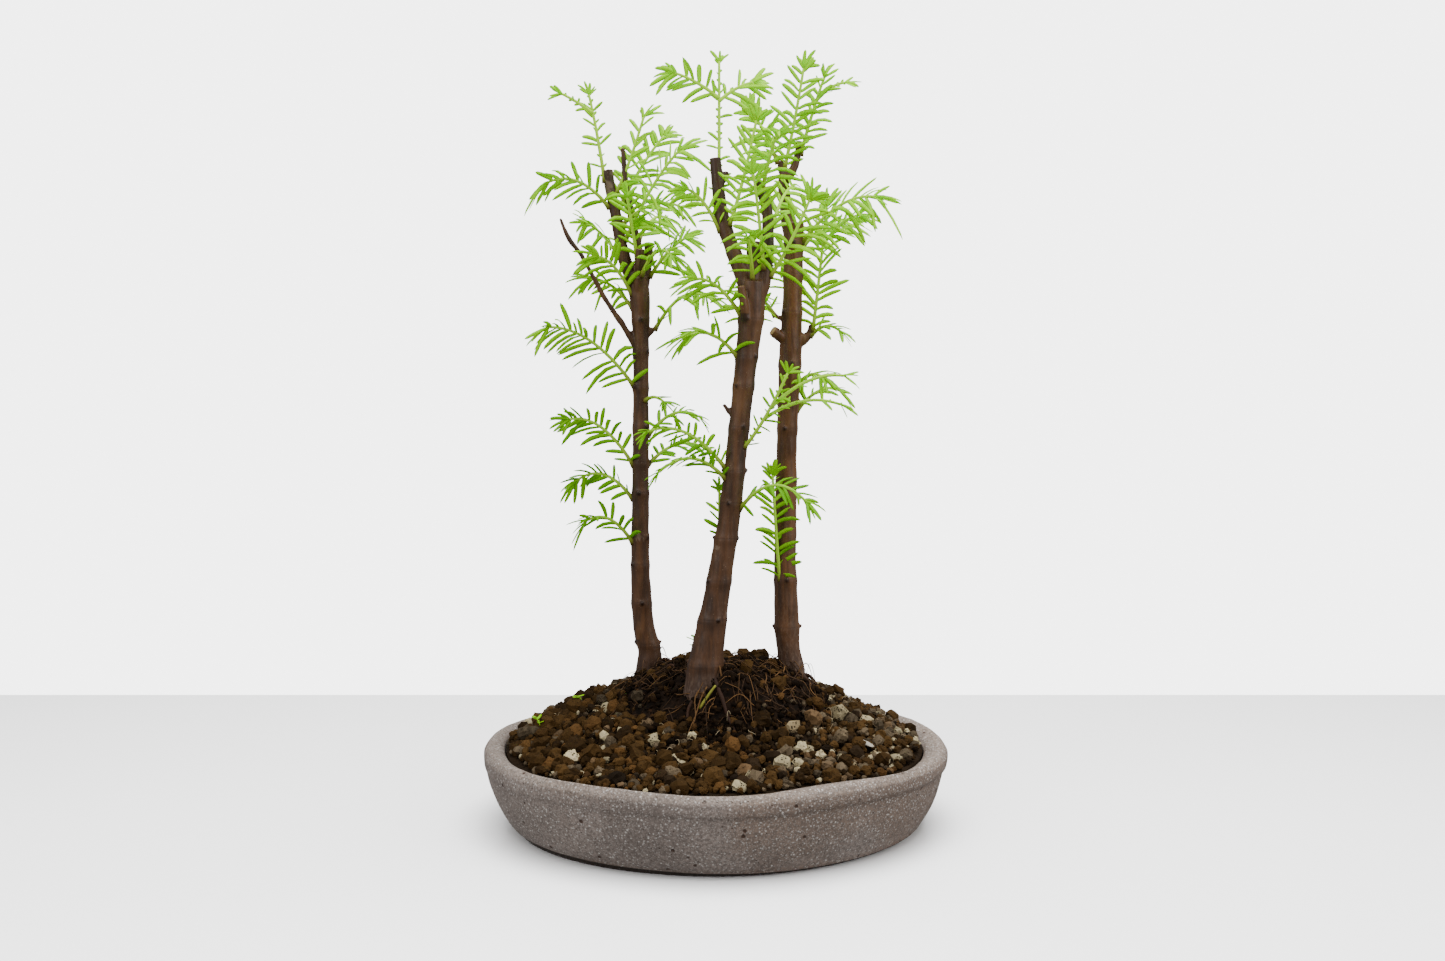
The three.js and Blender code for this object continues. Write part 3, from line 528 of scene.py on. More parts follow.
class Bench:
    """Adds nodes to one material."""

    def __init__(self, name):
        self.material = bpy.data.materials.new(name)
        self.material.use_nodes = True
        self.tree = self.material.node_tree
        self.tree.nodes.clear()
        self.object_place = self.node("ShaderNodeTexCoord", {}, {}, "Object")

    def node(self, kind, settings, values, output=0):
        """A node of that type: its settings are set first, then its sockets' values or links.
        Sockets may be named or numbered."""
        made = self.tree.nodes.new(kind)
        for key, value in settings.items():
            setattr(made, key, value)
        for key, value in values.items():
            into = self._input(made, key)
            if isinstance(value, Socket):
                self.tree.links.new(value.socket, into)
            elif hasattr(into.default_value, "__len__") and len(value) == 3 and \
                    len(into.default_value) == 4:
                into.default_value = (*value, 1)
            else:
                into.default_value = value
        outputs = [o for o in made.outputs if o.enabled]
        if isinstance(output, str):
            return Socket(self, next(o for o in outputs if o.name == output))
        return Socket(self, outputs[output])

    @staticmethod
    def _input(made, key):
        if isinstance(key, int):
            return [i for i in made.inputs if i.enabled][key]
        return next(i for i in made.inputs if i.name == key and i.enabled)

    def noise(self, scale, detail=3.0, roughness=0.55, stretch=None):
        """Cloudy noise, scale cells to the metre, stretched where a direction is under 1."""
        place = self.object_place
        if stretch:
            place = self.node("ShaderNodeMapping", {}, {"Vector": place, "Scale": stretch})
        return self.node(
            "ShaderNodeTexNoise", {},
            {"Vector": place, "Scale": scale, "Detail": detail, "Roughness": roughness}, "Fac",
        )

    def cells(self, scale):
        """Distance to the nearest of scattered points, scale cells to the metre."""
        return self.node(
            "ShaderNodeTexVoronoi", {}, {"Vector": self.object_place, "Scale": scale}, "Distance",
        )

    def mix(self, share, a, b):
        """Colour a turning into colour b."""
        return self.node(
            "ShaderNodeMix", {"data_type": "RGBA"}, {"Factor": share, "A": a, "B": b}, "Result",
        )

    def tint(self):
        """The piece's own attribute as three values."""
        colours = self.node("ShaderNodeAttribute", {"attribute_name": "tint"}, {}, "Color")
        return [
            self.node("ShaderNodeSeparateColor", {}, {"Color": colours}, part)
            for part in ("Red", "Green", "Blue")
        ]

    def bump(self, height, distance, strength):
        """A normal tilted by the slope of height, which stands for distance metres."""
        return self.node(
            "ShaderNodeBump", {},
            {"Height": height, "Distance": distance, "Strength": strength}, "Normal",
        )

    def principled(self, **values):
        """A surface from sockets' names, with underscores for their spaces."""
        names = {key.replace("_", " "): value for key, value in values.items()}
        return self.node("ShaderNodeBsdfPrincipled", {}, names, "BSDF")

    def done(self, shader):
        """The material with this shader as its surface."""
        end = self.tree.nodes.new("ShaderNodeOutputMaterial")
        self.tree.links.new(shader.socket, end.inputs["Surface"])
        return self.material


def speckled_clay(settings):
    """Unglazed clay: a cloudy body crowded with white grog, iron specks and pits, warmer towards
    the foot (the attribute's green), paler on the lip (red), and near-black on the foot ring
    (blue), which is painted shadow under the foot. The pits are painted dark brown: painted
    shade inside them."""
    b = Bench("speckled_clay")
    rim, under, ring = b.tint()
    cloud = b.noise(30, 4)
    grit = b.noise(620, 3, 0.65)
    patch = b.noise(95, 3, 0.6)
    clay, pale = settings.clay, settings.pale
    body = b.mix(cloud.step(0.3, 0.7), [c * 0.84 for c in clay], [c * 1.26 for c in clay])
    warm = (b.noise(11, 2).step(0.46, 0.62) * 0.55 + under * 0.9).clamped()
    body = b.mix(warm, body, (0.230, 0.148, 0.100))
    stain = b.noise(24, 4, 0.6).step(0.54, 0.66) * rim
    body = b.mix((stain * 0.55).clamped(), body, (0.300, 0.205, 0.130))
    body = b.mix((rim * (cloud * 0.7 + 0.25)).clamped(), body, pale)
    body = b.mix(grit.step(0.38, 0.62) * 0.66, body, [c * 0.45 for c in clay])
    fine = (1 - b.cells(880).step(0.24, 0.42)) * patch.step(0.24, 0.48)
    grog = (1 - b.cells(450).step(0.16, 0.30)) * b.noise(70, 2).step(0.30, 0.50)
    fleck = (1 - b.cells(250).step(0.11, 0.17)) * b.noise(60, 2).step(0.40, 0.56)
    body = b.mix((fine * 0.50).clamped(), body, (0.51, 0.465, 0.43))
    body = b.mix((grog * 0.72).clamped(), body, (0.66, 0.62, 0.585))
    body = b.mix((fleck * 0.85).clamped(), body, (0.72, 0.68, 0.63))
    iron = (1 - b.cells(340).step(0.10, 0.19)) * b.noise(75, 2).step(0.45, 0.60)
    body = b.mix((iron * 0.75).clamped(), body, (0.055, 0.030, 0.020))
    # painted shade: the pits, pressed in by the bump, are painted dark brown for the shade inside
    # them
    pit = (1 - b.cells(105).step(0.07, 0.15)) * b.noise(33, 2).step(0.42, 0.52)
    body = b.mix((pit * 0.9).clamped(), body, (0.060, 0.026, 0.014))
    # painted shadow: the foot ring and the undercut near the table turn near-black, standing in
    # for the contact shadow under the foot
    body = b.mix((ring * 0.92).clamped(), body, (0.014, 0.010, 0.008))
    height = grit * 0.30 + cloud * 0.3 + grog * 0.25 + fine * 0.12 - pit * 1.6 - iron * 0.3
    return b.done(b.principled(
        Base_Color=body,
        Roughness=(0.60 + grit * 0.26 - rim * 0.08).clamped(),
        Normal=b.bump(height, 0.0006, 0.9),
        Specular_IOR_Level=0.25,
    ))


def grain_stuff(name, dark, light, pores, painted_pore_shade, roughness):
    """Small stones: each has its own shade (the attribute's red), a mottled skin and pores, which
    are pressed in by the bump and painted dark as painted shade in the holes.
    """
    b = Bench(name)
    shade, pinkish, _ = b.tint()
    mottle = b.noise(520, 4, 0.6)
    skin_colour = b.mix((shade * 0.75 + mottle * 0.5 - 0.12).clamped(), dark, light)
    skin_colour = b.mix((pinkish * 0.5).clamped(), skin_colour, (0.17, 0.080, 0.024))
    near = b.cells(620)
    # painted shade: the pores take a dark colour for the shade inside the holes
    hole = (1 - near.step(0.20, 0.38)) * b.noise(300, 2).step(0.40, 0.54) * pores
    skin_colour = b.mix(hole.clamped(), skin_colour, painted_pore_shade)
    return b.done(b.principled(
        Base_Color=skin_colour,
        Roughness=(roughness + mottle * 0.16).clamped(),
        Normal=b.bump(mottle * 0.6 - hole * 1.0, 0.0008, 0.95),
        Specular_IOR_Level=0.08,
    ))


def dark_peat(name, peat, strand):
    """Earth: near-black crumbs with paler brown fibres lying in it."""
    b = Bench(name)
    cloud = b.noise(160, 5, 0.65)
    thread = b.noise(330, 3, 0.5, stretch=(1.0, 0.22, 1.0))
    across = b.noise(330, 3, 0.5, stretch=(0.22, 1.0, 1.0))
    lines = thread.most(across).step(0.60, 0.72)
    body = b.mix(cloud.step(0.36, 0.66), [c * 0.55 for c in peat], [c * 2.6 for c in peat])
    body = b.mix((lines * 0.55).clamped(), body, strand)
    return b.done(b.principled(
        Base_Color=body, Roughness=(0.80 + cloud * 0.18).clamped(),
        Normal=b.bump(cloud + lines * 0.5, 0.0012, 0.9), Specular_IOR_Level=0.1,
    ))


def red_bark(settings, tree):
    """Smooth red-brown bark, paler and more orange on a tree with more warmth. The attribute's
    red is cut wood, green darkens it, blue the old grey skin at the foot. The green is painted
    shade in the furrows, the scar grooves and under the leaves at the top of the trunk, and
    also the buds' own dark and a darker foot. Long streaks, pale dots and patches lie over it."""
    warmth = TREES[tree]["warmth"]
    warm = (1 + warmth, 1 + warmth * 0.9, 1 + warmth * 0.4)
    b = Bench(tree + "_bark")
    cut, deep, grey = b.tint()
    streak = b.noise(230, 4, 0.6, stretch=(1.0, 1.0, 0.14))
    wide = b.noise(70, 3, 0.5, stretch=(1.0, 1.0, 0.30))
    speck = b.noise(700, 3, 0.6, stretch=(1.0, 1.0, 0.4))
    bark = [c * w for c, w in zip(settings.bark, warm)]
    dark = [c * (1 + warmth * 0.5) for c in settings.dark]
    body = b.mix(streak.step(0.34, 0.66), [c * 0.60 for c in bark], [c * 1.40 for c in bark])
    body = b.mix((wide.step(0.54, 0.68) * 0.60).clamped(), body, (0.165, 0.072, 0.022))
    body = b.mix((wide.step(0.30, 0.46) * -0.55 + 0.55).clamped(), body, dark)
    # painted shade: deep darkens the furrows, the scar grooves and the top under the leaves; it
    # also holds the dark buds and a darker foot
    body = b.mix((deep * 0.85).clamped(), body, dark)
    dot = (1 - b.cells(420).step(0.07, 0.14)) * b.noise(90, 2).step(0.44, 0.54)
    body = b.mix((dot * 0.6).clamped(), body, (0.250, 0.165, 0.100))
    skin_grey = b.mix(speck.step(0.42, 0.68), (0.055, 0.030, 0.020), (0.150, 0.100, 0.072))
    body = b.mix((grey * (0.45 + speck * 0.6)).clamped(), body, skin_grey)
    lichen = b.noise(38, 3).step(0.655, 0.69) * speck.step(0.35, 0.55)
    body = b.mix((lichen * 0.55).clamped(), body, (0.24, 0.165, 0.110))
    wood = b.mix(streak, [c * 0.78 for c in settings.cut], [c * 1.18 for c in settings.cut])
    body = b.mix(cut.step(0.35, 0.65), body, wood)
    return b.done(b.principled(
        Base_Color=body,
        Roughness=(0.38 + speck * 0.28 + grey * 0.2).clamped(),
        Normal=b.bump(streak * 0.35 + speck * 0.40 - deep * 0.3, 0.0004, 0.75),
        Specular_IOR_Level=0.4,
    ))


def green_leaf(settings):
    """Soft needles: from old green to young lime by the attribute's red, paler along the stem
    (green) and brown at a shoot's base (blue). Light passes through the thin leaflets, and they
    glow faintly in their own colour, which is painted light. The red is higher on higher shoots:
    partly younger leaves, partly painted light above and painted shade below."""
    b = Bench("green_leaf")
    young, stem, brown = b.tint()
    cloud = b.noise(55, 3)
    fine = b.noise(900, 2, stretch=(1.0, 1.0, 0.35))
    age = (young + (cloud - 0.5) * 0.55 + (fine - 0.5) * 0.15).clamped()
    leaf = b.mix(age, settings.old, settings.young)
    leaf = b.mix((stem * 0.6).clamped(), leaf, (0.60, 0.90, 0.09))
    leaf = b.mix(brown, leaf, (0.13, 0.055, 0.022))
    surface = b.principled(
        Base_Color=leaf, Roughness=(0.42 + fine * 0.2).clamped(),
        Normal=b.bump(fine, 0.0002, 0.5), Specular_IOR_Level=0.18,
        # painted light: the leaves glow faintly in their own colour, though they are no lamp
        Emission_Color=b.mix(brown, leaf, (0.0, 0.0, 0.0)), Emission_Strength=0.10,
    )
    through = b.node(
        "ShaderNodeBsdfTranslucent", {},
        {"Color": b.mix(0.5, leaf, (0.70, 1.0, 0.01))}, "BSDF",
    )
    share = ((1 - brown) * (1 - stem * 0.6) * 0.42).clamped()
    return b.done(b.node(
        "ShaderNodeMixShader", {}, {0: share, 1: surface, 2: through}, "Shader"
    ))


def dry_root(name, dark, light):
    """Thin roots and fibres, each with its own shade of red-brown."""
    b = Bench(name)
    shade, _, _ = b.tint()
    cloud = b.noise(240, 3)
    body = b.mix((shade * 0.8 + cloud * 0.4 - 0.1).clamped(), dark, light)
    return b.done(b.principled(
        Base_Color=body, Roughness=(0.55 + cloud * 0.3).clamped(),
        Normal=b.bump(cloud, 0.0004, 0.8), Specular_IOR_Level=0.2,
    ))


def black_mesh():
    """Dull black plastic with a moulded grain."""
    b = Bench("black_mesh")
    grain = b.noise(1400, 2)
    return b.done(b.principled(
        Base_Color=b.mix(b.noise(60, 2), (0.012, 0.013, 0.013), (0.035, 0.036, 0.034)),
        Roughness=(0.42 + grain * 0.25).clamped(), Normal=b.bump(grain, 0.0001, 0.6),
    ))


# ------------------------------------------------------------------ the pot
POT_AROUND = 440  # points round the rim
WALL_STEPS = 96  # points along the cross-section
DRAIN_RADIUS = 9.0


def hump(a, at, spread):
    """A soft bump round the pot, exp(-(turn / spread)^2), where turn is the angle between a and
    the direction at. Both at and spread are in degrees."""
    turn = np.degrees(np.mod(a - np.radians(at) + np.pi, 2 * np.pi) - np.pi)
    return np.exp(-((turn / spread) ** 2))


def outline(a, pot):
    """The rim's outside radius at angle a: the ellipse A B / sqrt((B cos a)^2 + (A sin a)^2)
    with a slow wave of a few sines, as a hand-shaped rim has."""
    half, depth = pot.long / MM / 2, pot.deep / MM / 2
    oval = half * depth / np.hypot(depth * np.cos(a), half * np.sin(a))
    drift = (np.cos(a + 0.7) + 0.6 * np.cos(3 * a + 2.1)) * np.sin(2 * a)
    return oval + pot.wave / MM * drift


def rim_lift(a, z, pot):
    """How far the rim dips and rises: two sines round the pot and a hump at the front, growing
    with height squared."""
    ripple = 0.55 * np.sin(2 * a + 0.4) + 0.45 * np.sin(5 * a - 0.6) + hump(a, -62, 22)
    return pot.wave / MM * ripple * (z / (pot.high / MM)) ** 2


def lip_width(a, pot):
    """The lip's width: its narrow width plus a few humps and a ripple of two sines. The lip is
    broadest at the front right, pinched in right after it and broad again on the right side."""
    width = pot.lip / MM + 0.35 * np.sin(7 * a + 2) + 0.25 * np.sin(12 * a)
    for at, spread, share in (
            (-64, 21, 0.80), (-37, 12, -0.50), (2, 34, 0.72), (62, 40, 0.25), (186, 24, 0.45)):
        width = width + pot.lip_more / MM * share * hump(a, at, spread)
    return width


def foot_gap(a):
    """Height of the low foot ring on which the body stands: highest at the front left."""
    return 1.2 + 1.7 * hump(a, -132, 52)


def pot_wall(a, pot):
    """Cross-section of the pot at each angle, from the middle of its foot out, up, over the
    lip and down to the middle of its floor, as (radius, height). It is the smooth curve
    through points, whose insets on the lip scale with the lip's width. The rim rolls out over
    the wall at the front right, and the foot is a low ring, tallest at the front left."""
    w = lip_width(a, pot)
    high, floor = pot.high / MM, pot.floor / MM
    foot, wall = pot.foot / MM, pot.wall / MM
    lean = foot / 17
    roll = 1.5 * hump(a, -42, 46)
    gap = foot_gap(a)
    marks = [
        (foot + 24, 0.8), (foot + 9, 0.5), (foot + 6, 0.0), (foot + 3.6, 0.0),
        (foot + 3.0, gap * 0.7), (foot + 1.4, gap), (foot - 1.0, gap + 1.6),
        (12.6 * lean, 8.2), (8.6 * lean, 15.4), (5.4 * lean + roll * 0.3, 22.8),
        (3.0 * lean + roll * 0.8, 30.0), (1.5 * lean + roll, 35.8), (0.2, 40.6), (0.1, 43.4),
        (0.8, 45.9), (2.4, high - 1.0), (w * 0.36, high - 0.1),
        (w * 0.58, high - 0.5), (w * 0.80, high - 1.5), (w * 0.94, high - 2.9),
        (w, high - 5.0), (w + 0.1, high - 8.0), (w * 0.5 + 7.6, 33),
        (9.5 * lean + wall, 20), (foot + wall + 3, 11), (foot + wall + 9, floor + 0.2),
        (foot + wall + 20, floor),
    ]
    table = np.stack([
        np.stack([np.broadcast_to(i, a.shape), np.broadcast_to(z, a.shape)]).ravel()
        for i, z in marks
    ])
    line = smooth_line(table, np.linspace(0, 1, WALL_STEPS)).reshape(WALL_STEPS, 2, len(a))
    return outline(a, pot) - line[:, 0], np.maximum(line[:, 1], 0)


def build_pot(pot):
    """The wall's cross-section carried round, lifted at the rim, and pressed in and out along
    its own normal by noise: broad finger marks, small dimples and a grainy skin. Two drain
    holes are then cut through the floor."""
    a = np.linspace(0, 2 * np.pi, POT_AROUND, endpoint=False)
    radius, z = pot_wall(a, pot)
    z = z + rim_lift(a, z, pot)
    points, triangles, _ = skin(np.stack([radius * np.cos(a), radius * np.sin(a), z], -1))
    mesh = make_mesh("pot_blank", points, triangles)
    normal = normals_of(mesh)
    press = rough(points * [1, 1, 1.8], 26, 3) * 0.45 + noise(points, 6.5, 8) * 0.10
    press = press + np.minimum(noise(points, 2.1, 11) + 0.35, 0) * 0.16
    free = np.clip((points[:, 2] - 0.8) / 4, 0, 1)[:, None]
    points = points + normal * (press[:, None] - 0.28) * free
    blank = helper("pot_blank", make_mesh("pot_cut", points, triangles))

    drills = []
    for node in ("drain_screen_left", "drain_screen_right"):
        low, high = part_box(node)
        middle = (low + high) / 2 / MM
        t = np.linspace(0, 2 * np.pi, 40, endpoint=False)
        x, y = middle.x + DRAIN_RADIUS * np.cos(t), middle.y + DRAIN_RADIUS * np.sin(t)
        heights = np.array([-4, pot.floor / MM + 6])[:, None, None]
        rings = np.stack([x, y, 0 * t], -1) + np.array([0, 0, 1]) * heights
        drills.append(skin(rings)[:2])
    drill = helper("pot_drill", make_mesh("pot_drill", *stacked(drills)))
    cut = blank.modifiers.new("drain holes", "BOOLEAN")
    cut.operation, cut.object, cut.solver = "DIFFERENCE", drill, "EXACT"
    mesh = finished(blank)
    bpy.data.objects.remove(drill)
    mesh.shade_smooth()

    p = places_of(mesh)
    a = np.arctan2(p[:, 1], p[:, 0])
    inset = outline(a, pot) - np.hypot(p[:, 0], p[:, 1])
    lip = np.clip((p[:, 2] - 43.5) / 3.5, 0, 1) * (0.55 + 0.45 * np.clip(1.5 - inset / 9, 0, 1))
    under = 1 - np.clip((p[:, 2] - 0.5) / 5.5, 0, 1)
    # ring marks the foot ring and the underside below the foot's gap, which the clay paints
    # near-black as painted shadow under the foot
    ring = np.clip((foot_gap(a) + 0.1 - p[:, 2]) / 0.5, 0, 1)
    add_tints(mesh, np.stack([lip, under, ring], -1))
    add_piece("stoneware_pot", mesh, "stoneware", speckled_clay(pot), "pot")


# ------------------------------------------------------------------ the earth and the grit
BALL_LOW, BALL_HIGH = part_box("root_ball")
BALL = ((BALL_LOW + BALL_HIGH) / 2 / MM, (BALL_HIGH - BALL_LOW) / 2 / MM)
TILT = 0.2  # how much the earth rises towards the back for each millimetre
LUMP = 1.1  # height of its lumps
SLOPE_FROM = 50  # where the gravel's slope begins, from the middle of the pot
LEDGE = 14  # how far from the outline it ends


def round_ball(share, a):
    """Places (x, y) in the direction a, at a share of the way to the root ball's edge."""
    (cx, cy, _), (rx, ry, _) = BALL
    return np.stack([cx + rx * share * np.cos(a), cy + ry * share * np.sin(a)], -1)


def lumps(x, y):
    """Products and sums of slow sines."""
    return np.sin(0.31 * x + 1.3) * np.cos(0.27 * y) + 0.6 * np.sin(0.53 * y - 0.19 * x)


def ball_share(x, y):
    """0 in the middle of the root ball and 1 at its edge, an ellipse."""
    (cx, cy, _), (rx, ry, _) = BALL
    return np.hypot((x - cx) / rx, (y - cy) / ry)


def mound(x, y, earth):
    """The small heap in front of the middle trunk: a soft hump exp(-(distance / spread)^2)."""
    return earth.mound / MM * np.exp(-(((x - 8) / 19) ** 2 + ((y + 24) / 13) ** 2))


def ball_top(x, y, pot, earth):
    """Height of the root ball: its edge, a dome of crown (1 - share^2.5), a tilt, lumps and
    the small heap."""
    edge = (pot.high - earth.below + earth.rise) / MM
    dome = earth.crown / MM * (1 - np.minimum(ball_share(x, y), 1) ** 2.5)
    return edge + dome + TILT * (y - BALL[0].y) + LUMP * lumps(y, x) + mound(x, y, earth)


def bed_top(x, y, pot, earth):
    """Height of the gravel: a slope with the power 1.5 from the root ball's edge down to the
    rim, plus lumps and the small heap."""
    edge = (pot.high - earth.below + earth.against_wall) / MM
    ball = (pot.high - earth.below + earth.rise) / MM
    r, a = np.hypot(x, y), np.arctan2(y, x)
    share = np.clip((r - SLOPE_FROM) / (outline(a, pot) - LEDGE - SLOPE_FROM), 0, 1) ** 1.5
    inner = ball + TILT * (y - BALL[0].y) + LUMP * lumps(x, y)
    return inner * (1 - share) + edge * share + mound(x, y, earth)


def ground(x, y, pot, earth):
    """Height of whatever lies on top: the root ball blends into the gravel over its edge."""
    share = np.clip((ball_share(x, y) - 0.86) / 0.22, 0, 1)
    share = share * share * (3 - 2 * share)
    return ball_top(x, y, pot, earth) * (1 - share) + bed_top(x, y, pot, earth) * share


def build_bed(pot, earth):
    """The fine grit under the stones: a ring whose cross-section runs along the pot's floor,
    up the inside of its wall and over the slope to the root ball, roughened by noise."""
    a = np.linspace(0, 2 * np.pi, 300, endpoint=False)
    ex, ey = round_ball(0.88, a).T
    inner, turn = np.hypot(ex, ey), np.arctan2(ey, ex)
    edge, w = outline(turn, pot), lip_width(turn, pot)
    floor, foot = pot.floor / MM, (pot.foot + pot.wall) / MM

    def at(radius, z):
        return np.stack([radius * np.cos(turn), radius * np.sin(turn), 0 * a + z], -1)

    wall = [
        at(edge - foot - 16, floor + 2.2), at(edge - foot - 10, floor + 2.4),
        at(edge - foot - 4, 12.4), at(edge - 20, 20.5), at(edge - w * 0.5 - 8.6, 33),
        at(edge - w - 0.9, 40), at(edge - w - 0.7, 43),
    ]
    reach = np.linspace(0, 1, 44)[:, None]
    radius = (edge - w - 0.5) * (1 - reach) + inner * reach
    x, y = radius * np.cos(turn), radius * np.sin(turn)
    z = bed_top(x, y, pot, earth) - 1.6
    place = np.stack([x, y, z], -1)
    top = z + rough(place, 5, 21) * 0.9 + noise(place, 1.4, 25) * 0.45
    top = np.stack([x, y, top], -1)
    under = [at(inner, 40), at(inner, floor + 2)]
    grid = np.concatenate([np.stack(wall), top, np.stack(under)])
    points, triangles = hoop(grid)
    mesh = make_mesh("gravel_bed", points, triangles)
    add_shades(mesh, 1, 0.25 + 0.5 * np.abs(noise(points, 3, 5)))
    # The bed is almost black so that the gaps between the stones look dark: partly the fine
    # grit's own colour, partly painted shade between the stones
    material = grain_stuff("fine_grit_and_gap_shade", (0.006, 0.004, 0.002), (0.036, 0.020, 0.009), 0.5,
                           (0.003, 0.002, 0.001), 0.8)
    add_piece("gravel_bed", mesh, "gravel", material, "soil_bed")


def hoop(grid):
    """A ring-shaped skin: a grid of points joined to the next one both ways round."""
    s, c, _ = grid.shape
    i, j = np.meshgrid(np.arange(s), np.arange(c), indexing="ij")
    a, b = i * c + j, i * c + (j + 1) % c
    d, e = ((i + 1) % s) * c + j, ((i + 1) % s) * c + (j + 1) % c
    triangles = np.concatenate([
        np.stack([a, b, e], -1).reshape(-1, 3), np.stack([a, e, d], -1).reshape(-1, 3)
    ])
    points = grid.reshape(-1, 3)
    return points, outward(points, triangles)


def build_ball(pot, earth):
    """The root ball: ellipses that rise from its buried sides, given as (share, height), over
    its dome, with clods and crumbs from noise at several sizes."""
    a = np.linspace(0, 2 * np.pi, 360, endpoint=False)
    buried = [(0.5, 22), (0.97, 22), (1.0, 24), (1.0, 45), (1.0, 58)]
    share = np.concatenate([[s for s, _ in buried], np.linspace(0.99, 0.012, 84)])[:, None]
    x, y = np.moveaxis(round_ball(share, a), -1, 0)
    top = ground(x, y, pot, earth)
    z = top.copy()
    z[:5] = np.array([z for _, z in buried])[:, None]
    place = np.stack([x, y, top], -1)
    clod = rough(place, 11, 31) * 1.5 + np.abs(noise(place, 4.2, 35)) * 1.6
    crumb = noise(place, 1.5, 38) * 0.5 + noise(place, 0.8, 39) * 0.2
    z[5:] += (clod + crumb - 1.0)[5:]
    points, triangles, _ = skin(np.stack([x, y, z], -1))
    mesh = make_mesh("peat_ball", points, triangles)
    add_tints(mesh, np.zeros((len(points), 3)))
    material = dark_peat("dark_peat", earth.peat, (0.050, 0.023, 0.010))
    add_piece("peat_ball", mesh, "peat", material, "root_ball")


def turns(rng, n):
    """Random rotations from unit quaternions."""
    w, x, y, z = unit(rng.normal(size=(n, 4))).T
    return np.stack([
        1 - 2 * (y * y + z * z), 2 * (x * y - z * w), 2 * (x * z + y * w),
        2 * (x * y + z * w), 1 - 2 * (x * x + z * z), 2 * (y * z - x * w),
        2 * (x * z - y * w), 2 * (y * z + x * w), 1 - 2 * (x * x + y * y),
    ], -1).reshape(n, 3, 3)


def pebbles(rng, centres, radii, angular, flat=0.75, rings=5, around=7):
    """Small stones: spheres on a grid of rings, each squeezed by a random amount on three
    axes, pushed in and out by noise, and turned at random."""
    n = len(centres)
    u = np.linspace(0, np.pi, rings + 2)[1:-1, None]
    v = np.linspace(0, 2 * np.pi, around, endpoint=False)
    ball = np.stack([np.sin(u) * np.cos(v), np.sin(u) * np.sin(v), np.cos(u) + 0 * v], -1)
    shape = ball * rng.uniform(flat, 1.14, (n, 1, 1, 3))
    bumps = noise(ball * 1.9 + rng.uniform(0, 90, (n, 1, 1, 3)), 1.0)
    shape = shape * (1 + angular * bumps)[..., None]
    shape = np.einsum("nij,nabj->nabi", turns(rng, n), shape)
    points, triangles, size = skin(
        centres[:, None, None] + shape * np.asarray(radii)[:, None, None, None]
    )
    return points, triangles, size


def strewn(rng, pitch, low, high):
    """Places on a lattice of triangles with that pitch, each moved at random."""
    x = np.arange(low[0], high[0], pitch)
    y = np.arange(low[1], high[1], pitch * 0.866)
    gx, gy = np.meshgrid(x, y)
    gx[1::2] += pitch / 2
    spots = np.stack([gx.ravel(), gy.ravel()], -1)
    return spots + rng.uniform(-0.36, 0.36, spots.shape) * pitch


